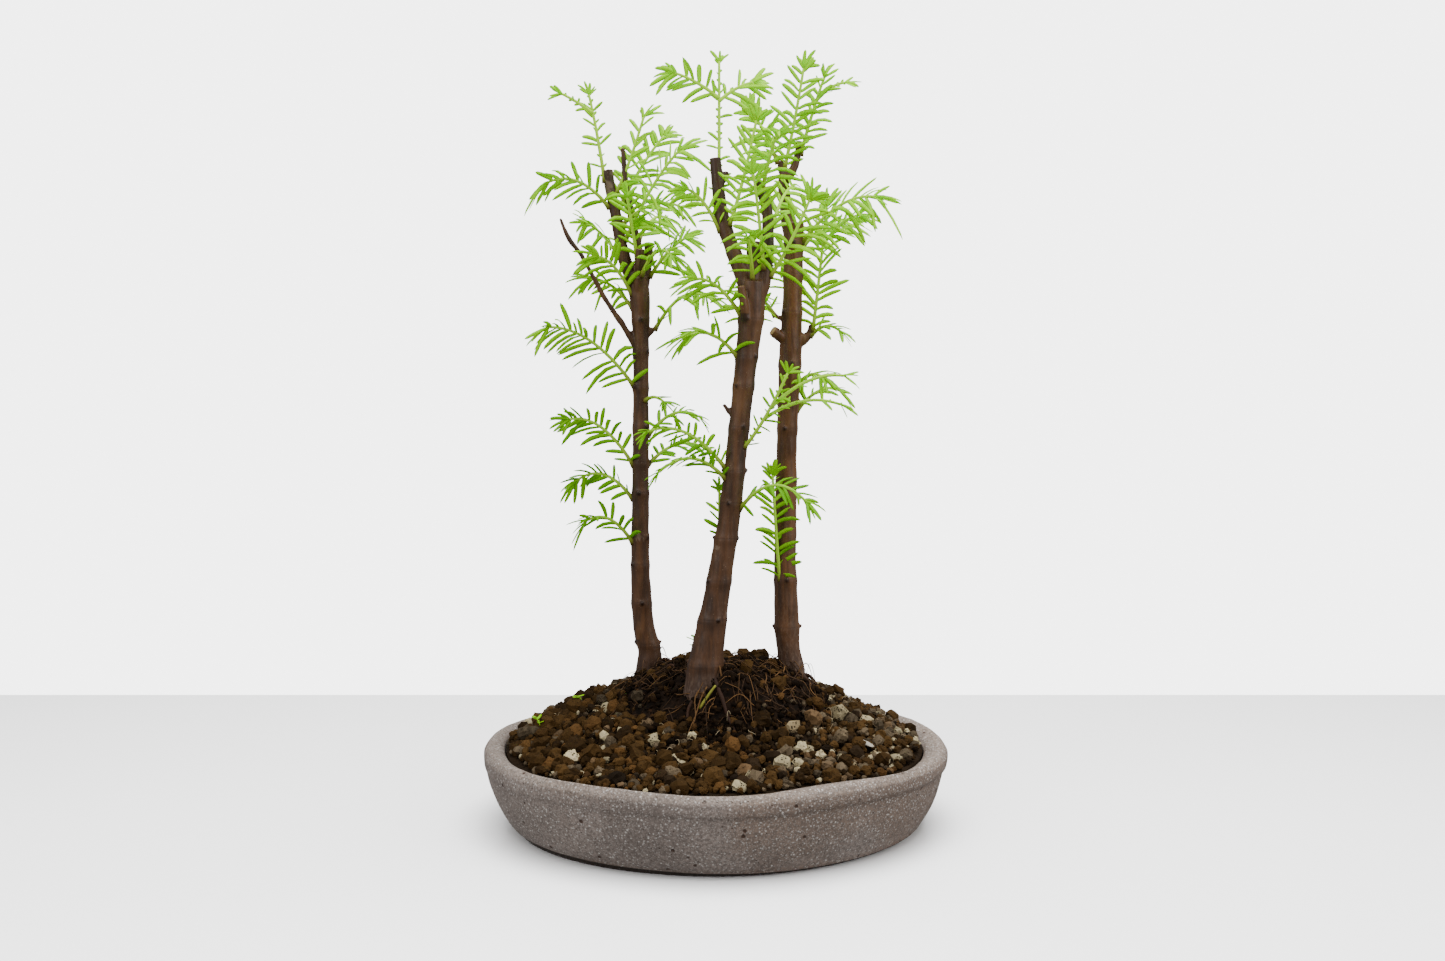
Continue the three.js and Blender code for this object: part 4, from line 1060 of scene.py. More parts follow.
def build_grit(pot, earth):
    """Loose stones on the gravel's slope. Places are strewn on a lattice; larger stones lie
    more to the front left. One random draw makes each stone baked clay, pumice, beige or dark
    stone, and the pale kinds are commoner on the right."""
    rng = np.random.default_rng(7)
    low, high = (-pot.long / MM / 2, -pot.deep / MM / 2), (pot.long / MM / 2, pot.deep / MM / 2)
    area = 0.80 * np.pi * high[0] * high[1]
    layers = []
    for count, small, large, sink in (
        (earth.grains, 1.15, 2.35, 0.05), (earth.stones, 2.3, 4.9, 0.20),
    ):
        spots = strewn(rng, (area / count / 0.866) ** 0.5, low, high)
        size = small + (large - small) * rng.random(len(spots)) ** 1.6
        front_left = np.clip(0.5 - spots[:, 0] / 260 - spots[:, 1] / 240, 0, 1)
        size = size * (0.98 + 0.28 * front_left)
        r, a = np.hypot(*spots.T), np.arctan2(spots[:, 1], spots[:, 0])
        room = outline(a, pot) - lip_width(a, pot) - size * 1.1 - 0.4
        share = ball_share(*spots.T)
        toward = np.exp(-((np.degrees(a) + 88) / 34) ** 2)
        thin = 0.62 * toward * np.clip((1.66 - share) / 0.4, 0, 1)
        chance = np.clip((share - 0.78) * 3.0, 0.13, 1) - thin
        keep = (r < room) & (rng.random(len(spots)) < chance)
        spots, size = spots[keep], size[keep]
        z = ground(*spots.T, pot, earth) + size * (rng.uniform(-0.35, 0.45, len(spots)) + sink)
        layers.append((np.column_stack([spots, z]), size))
    centres = np.concatenate([c for c, _ in layers])
    radii = np.concatenate([s for _, s in layers])
    draw = rng.random(len(centres))
    pale = 0.085 + 0.095 * np.clip((centres[:, 0] + 10) / 90, 0, 1)
    pale = pale * np.clip((ball_share(centres[:, 0], centres[:, 1]) - 0.55) / 0.4, 0.15, 1)
    pumice_to, beige_to = pale * 0.62, pale * 2.0
    dark_to = beige_to + 0.08
    clay, beige, pumice = earth.clay, earth.beige, earth.pumice
    kinds = [
        ("baked_clay_grains", draw > dark_to, 0.36,
         [c * 0.20 for c in clay], [c * 2.1 for c in clay], 0.45, 0.76),
        ("pumice_grains", draw < pumice_to, 0.42,
         [c * 0.45 for c in pumice], [c * 1.25 for c in pumice], 1.0, 0.80),
        ("beige_grains", (draw >= pumice_to) & (draw < beige_to), 0.38,
         [c * 0.38 for c in beige], [c * 1.8 for c in beige], 0.50, 0.66),
        ("dark_grains", (draw >= beige_to) & (draw <= dark_to), 0.36,
         (0.007, 0.0042, 0.0022), (0.032, 0.019, 0.009), 0.25, 0.85),
    ]
    for name, chosen, angular, dark, light, pores, roughness in kinds:
        n = int(chosen.sum())
        points, triangles, size = pebbles(rng, centres[chosen], radii[chosen], angular)
        shade = rng.random(n)
        pink = (rng.random(n) < 0.22) * rng.random(n) ** 1.5
        mesh = make_mesh(name, points, triangles)
        mesh.shade_flat()
        add_shades(mesh, size, shade, pink)
        material = grain_stuff(name + "_skin", dark, light, pores, (0.020, 0.013, 0.007),
                               roughness)
        add_piece(name, mesh, "gravel", material)


STRAND_STEPS = 10  # points along a fibre or a hair


def on_ground(xy, pot, earth, above):
    """Paths (..., points, 2) laid on the earth at a height above it."""
    z = ground(xy[..., 0], xy[..., 1], pot, earth) + above
    return np.concatenate([xy, z[..., None]], -1)


def build_crumbs(rng, pot, earth):
    """Crumbs of peat strewn over the root ball and down the front of the heap."""
    n = earth.crumbs
    share, a = rng.random(n) ** 0.55 * 1.15, rng.uniform(0, 2 * np.pi, n)
    front = rng.random(n) < 0.30
    a = np.where(front, np.radians(-92 + rng.normal(0, 24, n)), a)
    share = np.where(front, rng.uniform(0.9, 1.62, n), share)
    size = 0.6 + 2.0 * rng.random(n) ** 2.6
    centres = on_ground(round_ball(share, a), pot, earth, size * 0.25)
    points, triangles, count = pebbles(rng, centres, size, 0.42, 0.55, 4, 6)
    mesh = make_mesh("peat_crumbs", points, triangles)
    shade, brown = rng.random(n) ** 1.6, (rng.random(n) < 0.06) * 0.6
    add_shades(mesh, count, shade, brown)
    add_piece("peat_crumbs", mesh, "peat",
              grain_stuff("peat_crumb_skin", (0.002, 0.0012, 0.0007), (0.026, 0.0135, 0.0055),
                          0.4, (0.002, 0.0015, 0.001), 0.85))


def add_strands(name, rings, shades, material, wander=0.0):
    """Tubes as one piece, each with its own shade, bent a little by noise where they wander."""
    points, triangles, count = skin(rings)
    if wander:
        points = points + np.stack([noise(points, 4, s) for s in (51, 52, 53)], -1) * wander
    mesh = make_mesh(name, points, triangles)
    add_shades(mesh, count, shades)
    add_piece(name, mesh, "bark", material)


def build_fibres(rng, pot, earth):
    """Fibres and thin roots among the crumbs: each is a line with a random heading that swings
    by a sine and is arched off the ground, higher near the trunks."""
    n, t = earth.fibres, np.linspace(0, 1, STRAND_STEPS)
    share, a = rng.random(n) ** 0.5 * 0.98, rng.uniform(0, 2 * np.pi, n)
    start = round_ball(share, a)
    heading = rng.uniform(0, 2 * np.pi, n)
    along = np.stack([np.cos(heading), np.sin(heading)], -1)
    across = along[:, ::-1] * [-1, 1]
    reach = rng.uniform(6, 26, n)
    swing = np.sin(t * rng.uniform(2, 7, (n, 1)) + rng.uniform(0, 6, (n, 1)))
    swing = swing * (reach * rng.uniform(0.03, 0.14, n))[:, None]
    xy = start[:, None] + along[:, None] * (t * reach[:, None])[..., None]
    xy = xy + across[:, None] * swing[..., None]
    thick = 0.16 + 0.34 * rng.random(n) ** 2.5
    arch = np.sin(np.pi * t) * rng.uniform(0.1, 2.4, (n, 1)) + 0.5
    feet = np.array([tree["trunk"][0][:2] for tree in LIMBS.values()])
    near = np.linalg.norm(start[:, None] - feet[None], axis=-1).min(1) < 16
    arch = arch * (1 + near[:, None] * rng.uniform(0, 3.0, (n, 1)))
    rings = tube_rings(on_ground(xy, pot, earth, arch),
                       thick[:, None] * (1 - 0.75 * t ** 2), 5)
    add_strands("root_fibres", rings, rng.random(n) ** 3,
                dry_root("fibre_skin", (0.012, 0.005, 0.003), (0.26, 0.13, 0.045)))


def build_hairs(rng, pot, earth):
    """Pale hairs that curl over the grit round the root ball: the heading of each turns at an
    even rate, and its middle is arched off the ground."""
    n, t = earth.hairs, np.linspace(0, 1, STRAND_STEPS)
    a, out = rng.uniform(0, 2 * np.pi, n), rng.uniform(1.0, 1.65, n)
    start = round_ball(out, a)
    limit = outline(np.arctan2(start[:, 1], start[:, 0]), pot) - 24
    start = start * np.minimum(1, limit / np.linalg.norm(start, axis=1))[:, None]
    turn = rng.uniform(0, 2 * np.pi, (n, 1)) + rng.uniform(-2.4, 2.4, (n, 1)) * t
    step = np.stack([np.cos(turn), np.sin(turn)], -1) * rng.uniform(0.35, 1.05, (n, 1, 1))
    arch = 1.2 + np.sin(np.pi * t) * rng.uniform(0.3, 3.0, (n, 1))
    rings = tube_rings(on_ground(start[:, None] + np.cumsum(step, 1), pot, earth, arch),
                       np.full((n, STRAND_STEPS), 0.15), 4)
    add_strands("pale_hairs", rings, rng.random(n),
                dry_root("hair_skin", (0.16, 0.11, 0.055), (0.52, 0.42, 0.26)))


def build_surface_roots(rng, pot, earth):
    """Roots that leave each trunk's foot in a star, wander with a sine and dive into the
    earth."""
    paths, radii = [], []
    steps, spokes = 26, 5
    t = np.linspace(0, 1, steps)
    for x, y, _, thick in [tree["trunk"][0] for tree in LIMBS.values()]:
        for k in range(spokes):
            heading = k * 1.257 + rng.uniform(-0.4, 0.4)
            reach = rng.uniform(20, 44)
            turn = heading + rng.uniform(-0.7, 0.7) * t + 0.25 * np.sin(7 * t + k)
            step = np.stack([np.cos(turn), np.sin(turn)], -1) * (reach / steps)
            xy = np.array([x, y]) + np.cumsum(step, 0)
            xy = xy + np.array([np.cos(heading), np.sin(heading)]) * thick * 0.30
            sink = 0.9 - 3.6 * t ** 2.2 + 0.9 * np.sin(9 * t + k)
            paths.append(on_ground(xy, pot, earth, sink))
            radii.append((thick * 0.035 + 0.35) * (1 - 0.8 * t) + 0.25)
    rings = tube_rings(np.stack(paths), np.stack(radii), 10)
    add_strands("surface_roots", rings, rng.random(len(paths)) * 0.6,
                dry_root("root_skin", (0.014, 0.006, 0.004), (0.085, 0.036, 0.016)), 0.3)


# ------------------------------------------------------------------ the trees
# The limbs that end in a flat cut.
CUT_ENDS = {
    "left": ("leader", "thin_leader", "front_stub", "side_stub"),
    "middle": ("left_leader", "right_leader", "centre_stub", "front_stub"),
    "right": ("leader", "left_knob"),
}


def limb_line(tree, limb, share):
    """Places and thickness (x, y, z, diameter) along a limb at shares of its length."""
    return smooth_line(LIMBS[tree][limb], np.asarray(share, float))


def trunk_at(tree, height):
    """Share of the trunk's curve at which it reaches a height, read off the curve."""
    share = np.linspace(0, 1, 400)
    return np.interp(height, limb_line(tree, "trunk", share)[:, 2], share)


def limb_tubes(tree, rng):
    """Tubes of one tree: every limb, bud pairs at the leaf scars, and root buttresses that
    leave the foot and dive into the earth."""
    share = np.linspace(0, 1, 60)
    parts = []
    for limb in LIMBS[tree]:
        line = limb_line(tree, limb, share)
        if limb == "trunk":
            buried = line[:1] + [[0, 0, -12, 3]]
            line = np.vstack([buried, line])
        parts.append(skin(tube_rings(line[:, :3], line[:, 3] / 2, 26))[:2])
    bud = np.array([1.9, 1.8, 1.6, 1.3, 1.0, 0.5])
    for k, height in enumerate(SCARS[tree]):
        x, y, z, thick = limb_line(tree, "trunk", [trunk_at(tree, height)])[0]
        for side in (0, np.pi):
            a = k * 1.9 + side + rng.uniform(-0.3, 0.3)
            out = np.array([np.cos(a), np.sin(a), 0.0])
            start = np.array([x, y, z - 0.5]) + out * thick * 0.30
            end = start + out * (thick * 0.20 + 1.5) + [0, 0, 2.1]
            path = start + np.linspace(0, 1, len(bud))[:, None] * (end - start)
            parts.append(skin(tube_rings(path, bud, 10))[:2])
    x, y, z, thick = LIMBS[tree]["trunk"][0]
    t = np.linspace(0, 1, 20)[:, None]
    for k in range(5):
        a = k * 1.26 + rng.uniform(-0.3, 0.3)
        out = np.array([np.cos(a), np.sin(a), 0.0])
        reach = thick * 0.5 + rng.uniform(1, 4)
        path = np.array([x, y, z]) + out * reach * t
        path = path + [0, 0, 1] * (rng.uniform(2, 6) * (1 - t) ** 1.6 - 5.5 * t ** 2 - 1.2)
        radii = thick * rng.uniform(0.09, 0.12) * (1 - 0.5 * t[:, 0])
        parts.append(skin(tube_rings(path, radii, 12))[:2])
    return stacked(parts)


def bud_reach(p, tree):
    """How far points near a leaf scar stand out past the trunk's own radius, in millimetres."""
    reach = np.zeros(len(p))
    for height in SCARS[tree]:
        x, y, _, thick = limb_line(tree, "trunk", [trunk_at(tree, height)])[0]
        past = np.hypot(p[:, 0] - x, p[:, 1] - y) - thick / 2
        near = np.abs(p[:, 2] - height - 0.8) < 2.6
        reach = np.where(near & (past < 4), np.maximum(reach, past), reach)
    return reach


def cut_wood(p, normal, tree):
    """1 on the flat ends of the cut limbs and 0 elsewhere: points near an end whose normal
    looks along the limb."""
    cut = np.zeros(len(p))
    for limb in CUT_ENDS[tree]:
        last = limb_line(tree, limb, [0.93, 1.0])
        ahead = unit(last[1, :3] - last[0, :3])
        away = p - last[1, :3]
        near = np.linalg.norm(away, axis=1) < last[1, 3] * 0.62 + 0.4
        flat = np.clip((normal @ ahead - 0.62) / 0.2, 0, 1)
        cut = np.maximum(cut, near * flat * (away @ ahead > -1.1))
    return cut


def build_tree(tree, wood, material):
    """One tree's tubes melted into one skin by a voxel remesh. The skin is then moved along its
    normals: a ring of swelling and a fine groove at each leaf scar, and long ridges from noise
    stretched along the trunk. Its tints mark cut wood, grey skin and dark bark: painted shade in
    the furrows, the scar grooves and under the leaves at the top, with the buds' own dark and a
    darker foot."""
    rng = np.random.default_rng(TREES[tree]["seed"])
    blank = helper("tree_blank", make_mesh("tree_blank", *limb_tubes(tree, rng)))
    melt = blank.modifiers.new("melt", "REMESH")
    melt.mode, melt.voxel_size, melt.use_smooth_shade = "VOXEL", wood.voxel, True
    melt.adaptivity = 0
    mesh = finished(blank)
    p, normal = places_of(mesh), normals_of(mesh)
    cut = cut_wood(p, normal, tree)

    ring = np.zeros(len(p))
    groove = np.zeros(len(p))
    for height in SCARS[tree]:
        away = p[:, 2] - height
        ring += np.exp(-(away / 3.2) ** 2)
        groove += np.exp(-((away - 0.8) / 0.5) ** 2)
    long_way = p * [1, 1, 0.13]
    ridges = noise(long_way, 1.9, 41) * 0.6 + noise(long_way, 1.0, 44) * 0.4
    knots = rough(p, 9, 47)
    move = wood.ridge / MM * ridges + 0.45 * ring - 0.05 * groove + 0.35 * knots
    move = move * (1 - cut) + cut * noise(p, 0.9, 49) * 0.12
    p = p + normal * (move - 0.15)[:, None]

    high = p[:, 2] - LIMBS[tree]["trunk"][0][2]
    grey = np.clip(1 - high / TREES[tree]["grey_to"], 0, 1)
    if tree == "right":
        grey = np.maximum(grey, np.clip(rough(p * [1, 1, 0.6], 16, 60) * 2.2 + 0.15, 0, 1)
                          * np.clip((120 - high) / 60, 0, 1))
    # painted shade in the furrows between the ridges and in the scar grooves
    deep = np.clip(-ridges * 1.1 - 0.25, 0, 1) * 0.6 + np.clip(groove, 0, 1) * 0.30
    deep = np.maximum(deep, 0.85 * np.clip((bud_reach(p, tree) - 0.30) / 0.5, 0, 1))
    if tree == "left":
        foot = np.clip(1.15 - high / 16, 0, 1) * np.clip(p[:, 0] / 4 + 11.5, 0, 1)
        deep = np.maximum(deep, foot)
    # darker towards the foot of every trunk
    deep = np.maximum(deep, 0.6 * np.clip(1.2 - high / 16, 0, 1))
    # painted shade: the trunk darkens towards its top, under the leaves
    top = max(row[2] for limb in LIMBS[tree].values() for row in limb)
    deep = np.maximum(deep, 0.40 * np.clip((p[:, 2] - top + 70) / 40, 0, 1))
    mesh.vertices.foreach_set("co", (p * MM).astype(np.float32).ravel())
    mesh.update()
    add_tints(mesh, np.stack([cut, np.clip(deep, 0, 1), grey], -1))
    add_piece(tree + "_tree", mesh, "bark", material, tree + "_trunk")


# ------------------------------------------------------------------ the shoots
STEM_STEPS, STEM_AROUND = 18, 7  # points along and round a stem
SHORT_LEAVED = 10  # shoots with shorter leaflets than this carry mere scales as well
PAST_CAD = 9  # how far leaves may stand out past the CAD's box


def leaf_share(u):
    """Length of the leaflets along a stem: short at both ends, from the power 0.8 of a sine."""
    return 0.45 + 0.55 * np.sin(np.pi * np.minimum(1, 0.15 + 0.8 * u)) ** 0.8


def stem_line(bud, tip, bow, share):
    """A curve from the bud to the tip whose middle is pulled up: the quadratic Bezier
    (1-t)^2 bud + 2 t (1-t) middle + t^2 tip."""
    middle = (bud + tip) / 2 + [0, 0, 2 * bow]
    t = np.asarray(share, float)[:, None]
    return (1 - t) ** 2 * bud + 2 * t * (1 - t) * middle + t ** 2 * tip


def leaflets(rng, base, out, across, size, width, droop, fold):
    """Narrow leaflets: a line from each base along out that droops with the square of its
    reach and hooks at its tip, carrying a flat diamond whose width grows, holds and tapers
    and whose two halves are folded up a little. Returns rings (leaflets, 6, 4, 3)."""
    n = len(base)
    s = np.array([0.0, 0.10, 0.34, 0.64, 0.90, 1.0])
    wide = np.array([0.40, 0.82, 1.0, 1.0, 0.72, 0.12]) * 0.5
    reach = s * size[:, None]
    hook = across * rng.uniform(-0.10, 0.16, n)[:, None]
    path = base[:, None] + out[:, None] * reach[..., None]
    path = path + hook[:, None] * (reach * s)[..., None]
    path[..., 2] -= droop[:, None] * reach ** 2
    forward = unit(np.gradient(path, axis=1))
    flat = unit(across[:, None] - (across[:, None] * forward).sum(-1, keepdims=True) * forward)
    face = np.cross(forward, flat)
    w = wide * width[:, None]
    thick = np.array([0.30, 0.24, 0.22, 0.20, 0.16, 0.05])
    edge = flat * w[..., None] + face * (w * fold[:, None])[..., None]
    other = -flat * w[..., None] + face * (w * fold[:, None])[..., None]
    rib = face * thick[:, None]
    return np.stack([path + edge, path + rib * 0.35, path + other, path - rib], 2)


def frond(rng, bud, tip, bow, leaf, roll, young, settings, brown_base=True):
    """One stem with its leaflets in opposite pairs, and a rosette of short ones at its end.
    The stem stops short of the tip, which the rosette reaches."""
    longest = leaf * settings.reach
    stop = max(0.6, 1 - 0.55 * longest / np.linalg.norm(tip - bud))
    line = stem_line(bud, tip, bow, np.linspace(0, stop, STEM_STEPS))
    span = np.linalg.norm(np.diff(line, axis=0), axis=1).sum()
    forward = unit(np.gradient(line, axis=0))
    to = tip - bud
    level = unit(np.array([-to[1], to[0], 1e-6]))

    def flat_of(ahead):
        turn = math.radians(roll)
        up = np.cross(ahead, level)
        side = unit(level * math.cos(turn) + up * math.sin(turn))
        return unit(side - (side * ahead).sum(-1, keepdims=True) * ahead)

    u = np.linspace(0, 1, STEM_STEPS)
    thick = np.linspace(1.20, 0.80, STEM_STEPS)
    if brown_base:
        thick = thick + 0.75 * np.exp(-u * span / 2.2)
    stem_points, stem_triangles, _ = skin(tube_rings(line, thick, STEM_AROUND))
    along = np.repeat(u, STEM_AROUND)
    brown = np.exp(-along * span / 6.5) if brown_base else 0 * along
    green = np.ones_like(brown)
    stem_tint = np.stack([0 * brown + young * 0.7 + 0.2, green, brown], -1)
    stem_tint = np.vstack([stem_tint, stem_tint[:1], stem_tint[-1:]])

    pairs = max(3, int(round(span / (settings.spacing / MM))))
    t = (np.arange(pairs) + 0.9) / (pairs + 0.25)
    t = np.repeat(t, 2) + rng.uniform(-0.30, 0.30, 2 * pairs) / pairs
    t = np.clip(t, 0.03, 0.995)
    sign = np.tile([1.0, -1.0], pairs)
    at = np.stack([np.interp(t, u, line[:, k]) for k in range(3)], -1)
    ahead = unit(np.stack([np.interp(t, u, forward[:, k]) for k in range(3)], -1))
    side = flat_of(ahead)
    face = np.cross(side, ahead)
    n = 2 * pairs
    lean = np.radians(70 + (44 - 70) * t + rng.normal(0, 9, n))
    tilt = rng.normal(0.02, 0.26, n)
    out = unit(ahead * np.cos(lean)[:, None] + side * (sign * np.sin(lean))[:, None]
               + face * tilt[:, None] + [0, 0, 0.20])
    twist = rng.normal(0, 0.30, n)
    across = unit(ahead * np.cos(twist)[:, None] + face * np.sin(twist)[:, None])
    size = longest * leaf_share(t) * rng.uniform(0.72, 1.10, n)
    if leaf < SHORT_LEAVED:
        size = size * np.where(rng.random(n) < settings.bare, 0.30, 1.0)
    base = at + side * (sign * 0.35)[:, None]

    k = 6 if leaf > 11 else 5
    spin = np.linspace(-1, 1, k) * 0.78 + rng.uniform(-0.14, 0.14, k)
    end, end_side = forward[-1], flat_of(forward[-1:])[0]
    end_face = np.cross(end_side, end)
    lift = rng.uniform(-0.35, 0.55, k)
    fan = unit(end * np.cos(spin)[:, None] + end_side * np.sin(spin)[:, None]
               + end_face * lift[:, None])
    base = np.vstack([base, np.repeat(line[-1:], k, 0)])
    out = np.vstack([out, fan])
    across = np.vstack([across, unit(np.cross(fan, end_face + rng.normal(0, 0.3, (k, 3))))])
    size = np.concatenate([size, max(longest, 13) * rng.uniform(0.50, 0.85, k)])
    t = np.concatenate([t, np.ones(k)])

    m = len(base)
    width = settings.width / MM * rng.uniform(0.74, 1.10, m) * np.clip(size / 13, 0.62, 1.06)
    droop = rng.uniform(0.008, 0.030, m)
    rings = leaflets(rng, base, out, across, size, width, droop, rng.uniform(0.05, 0.5, m))
    points, triangles, count = skin(rings)
    shade = young + 0.26 * t - 0.12 + rng.normal(0, 0.14, m)
    tints = np.repeat(np.stack([np.clip(shade, 0, 1), 0.12 + 0 * shade, 0 * shade], -1), count, 0)
    return gathered([(stem_points, stem_triangles, stem_tint), (points, triangles, tints)])


def bud_of(tree, limb, height, tip):
    """Where a shoot leaves its limb: on the limb's surface at that height, on the side that
    faces the tip."""
    share = np.linspace(0, 1, 300)
    line = limb_line(tree, limb, share)
    near = line[np.argmin(np.abs(line[:, 2] - height))]
    flat = np.array([tip[0] - near[0], tip[1] - near[1], 0.0])
    return near[:3] + unit(flat) * near[3] * 0.40


def build_shoot(tree, number, row, leaf, material):
    """One shoot and its side fronds, which start on its stem. The higher its tip, the younger and
    paler its leaves: partly their own colour, partly painted light on the upper leaves and
    painted shade on the lower."""
    limb, height, tip, bow, longest, roll = row[:6]
    rng = np.random.default_rng(1000 + number * 7 + len(tree))
    tip = np.array(tip, float)
    bud = bud_of(tree, limb, height, tip)
    # painted light and shade: the leaves grow paler with the tip's height, partly from younger
    # growth, partly from the light falling on the top
    young = TREES[tree]["young"] + (tip[2] - 300) / 260 + rng.normal(0, 0.05)
    young = np.clip(young, 0.02, 0.9)
    parts = [frond(rng, bud, tip, bow, longest, roll, young, leaf)]
    for share, end, arch, size, turn in (row[6] if len(row) > 6 else []):
        start = stem_line(bud, tip, bow, [share])[0]
        parts.append(frond(rng, start, np.array(end, float), arch, size, turn,
                           young + 0.05, leaf, brown_base=False))
    points, triangles, tints = gathered(parts)
    low, high = (np.array(corner) / MM for corner in CAD_BOX)
    points = np.clip(points, low - PAST_CAD, high + PAST_CAD)
    name = f"{tree}_shoot_{number:02d}"
    mesh = make_mesh(name + "_leaves", points, triangles)
    add_tints(mesh, tints)
    add_piece(name + "_leaves", mesh, "leaf", material, name)


def build_seedlings(pot, earth, material):
    """Tiny weeds: a bent thread of a stem with a few leaves spread round its tip."""
    for number, (x, y, lean, high, node) in enumerate(SEEDLINGS):
        rng = np.random.default_rng(300 + number)
        foot = np.array([x, y, ground(np.array(x), np.array(y), pot, earth) - 2.5], float)
        top = foot + [lean, -1.5, high]
        t = np.linspace(0, 1, 10)[:, None]
        line = foot + (top - foot) * t + [[0.8, 0.4, 0]] * np.sin(np.pi * t)
        stem = skin(tube_rings(line, np.linspace(0.55, 0.32, 10), 7))
        parts = [(stem[0], stem[1], np.tile([0.6, 0.6, 0.0], (len(stem[0]), 1)))]
        base = np.array([line[i] for i in (9, 9, 8, 8, 6, 6)])
        k = len(base)
        a = np.arange(k) * 2.4 + rng.uniform(0, 6)
        rise = rng.uniform(0.15, 0.8, k)
        out = unit(np.stack([np.cos(a), np.sin(a), rise], -1))
        across = unit(np.cross(out, [0, 0, 1.0]))
        size = rng.uniform(3.2, 5.4, k)
        rings = leaflets(rng, base, out, across, size, np.full(k, 2.3),
                         rng.uniform(0.01, 0.05, k), np.full(k, 0.25))
        points, triangles, _ = skin(rings)
        parts.append((points, triangles, np.tile([0.75, 0.05, 0.0], (len(points), 1))))
        points, triangles, tints = gathered(parts)
        mesh = make_mesh(node + "_leaves", points, triangles)
        add_tints(mesh, tints)
        add_piece(node + "_leaves", mesh, "leaf", material, node)


def build_litter(pot, earth):
    """A pale flake of bark on the right and a green stick in front, lying on the grit."""
    rng = np.random.default_rng(5)
    t = np.linspace(0, 1, 12)
    xy = np.array([82.0, -40.0]) + np.outer(t, [8.5, -7.5])
    path = on_ground(xy, pot, earth, 3.6 + 0.6 * t)
    wide = 2.4 * np.sin(np.pi * np.clip(t * 0.92 + 0.05, 0, 1)) ** 0.4
    a = np.linspace(0, 2 * np.pi, 10, endpoint=False)
    side = unit(np.array([7.5, 8.5, 1.0]))
    up = np.array([-0.1, -0.1, 1.0])
    rings = path[:, None] + wide[:, None, None] * (
        np.cos(a)[None, :, None] * side + 0.30 * np.sin(a)[None, :, None] * up)
    rings = rings + rng.normal(0, 0.10, rings.shape)
    add_strands("pale_flake", rings, [0.9],
                dry_root("flake_skin", (0.20, 0.17, 0.13), (0.50, 0.46, 0.38)))

    foot = np.array([-9.5, -31.0])
    xy = foot + np.outer(t, [9.5, 1.0])
    path = on_ground(np.tile(foot, (12, 1)), pot, earth, 0.0)
    path[:, :2], path[:, 2] = xy, path[:, 2] - 1.5 + 15.0 * t - 1.5 * t ** 2
    add_strands("green_stick", tube_rings(path, 0.95 - 0.3 * t, 9), [0.5],
                dry_root("stick_skin", (0.16, 0.17, 0.02), (0.40, 0.38, 0.06)))


# ------------------------------------------------------------------ the stage
def pale_stone(name, shade):
    """Smooth polished stone, a grey of that shade with a hardly visible cloudiness."""
    b = Bench(name)
    grain = b.noise(3.0, 2)
    return b.done(b.principled(
        Base_Color=b.mix(grain, [shade * 0.985] * 3, [shade * 1.015] * 3),
        Roughness=(0.07 + grain * 0.04).clamped(), Specular_IOR_Level=0.5,
    ))


def sheet(name, corners, material):
    """A flat sheet of the stage. It sends no light on to the planting and isn't mirrored."""
    mesh = bpy.data.meshes.new(name)
    mesh.from_pydata(corners, [], [tuple(range(len(corners)))])
    obj = helper(name, mesh)
    mesh.materials.append(material)
    obj.visible_diffuse = obj.visible_glossy = obj.visible_transmission = False
    return obj


def soft_light(name, at, towards, size, power):
    """A square of light at a place, facing another."""
    lamp = bpy.data.lights.new(name, "AREA")
    lamp.shape, lamp.size, lamp.energy = "SQUARE", size, power
    obj = bpy.data.objects.new(name, lamp)
    bpy.context.scene.collection.objects.link(obj)
    back = np.array(at, float) - np.array(towards, float)
    obj.location = at
    flat = math.hypot(back[0], back[1])
    obj.rotation_euler = (math.atan2(flat, back[2]), 0, math.atan2(back[0], -back[1]))
    return obj


def build_stage(stage):
    """A pale table that ends a little way behind the planting, soft lights over the planting,
    one more that falls on the table alone, a plain bright room all round, and the camera. The
    room is brighter when seen than as a light, so that it doesn't wash the planting out."""
    half, end = 3.0, stage.table
    table = sheet("table", [(-half, -half, 0), (half, -half, 0), (half, end, 0),
                            (-half, end, 0)], pale_stone("pale_table", 0.86))

    soft_light("top", (0.25, 0.10, 1.30), (0, 0, 0.15), 0.9, 19)
    soft_light("window", (-0.85, -0.75, 0.95), (0, 0, 0.22), 0.9, 11)
    soft_light("fill", (1.05, -0.65, 0.75), (0, 0, 0.22), 0.9, 10)
    on_table = soft_light("table light", (0.0, -0.1, 1.9), (0, 0, 0), 1.8, 150)
    only = bpy.data.collections.new("table only")
    only.objects.link(table)
    on_table.light_linking.receiver_collection = only

    world = bpy.data.worlds.new("room")
    world.use_nodes = True
    nodes, links = world.node_tree.nodes, world.node_tree.links
    room = nodes["Background"]
    room.inputs["Color"].default_value = (1, 1, 1, 1)
    seen = nodes.new("ShaderNodeLightPath")
    strength = nodes.new("ShaderNodeMath")
    strength.operation = "MULTIPLY_ADD"
    links.new(seen.outputs["Is Camera Ray"], strength.inputs[0])
    as_light, more_when_seen = 0.35, 4.6
    strength.inputs[1].default_value = more_when_seen
    strength.inputs[2].default_value = as_light
    links.new(strength.outputs[0], room.inputs["Strength"])
    bpy.context.scene.world = world

    camera = bpy.data.cameras.new("camera")
    camera.lens, camera.sensor_width = stage.lens, 36
    camera.clip_start, camera.clip_end = 0.02, 30
    obj = bpy.data.objects.new("camera", camera)
    obj.location = (0.004, -stage.distance, stage.height)
    obj.rotation_euler = (math.radians(90) - stage.pitch, 0, 0)
    bpy.context.scene.collection.objects.link(obj)
    bpy.context.scene.camera = obj


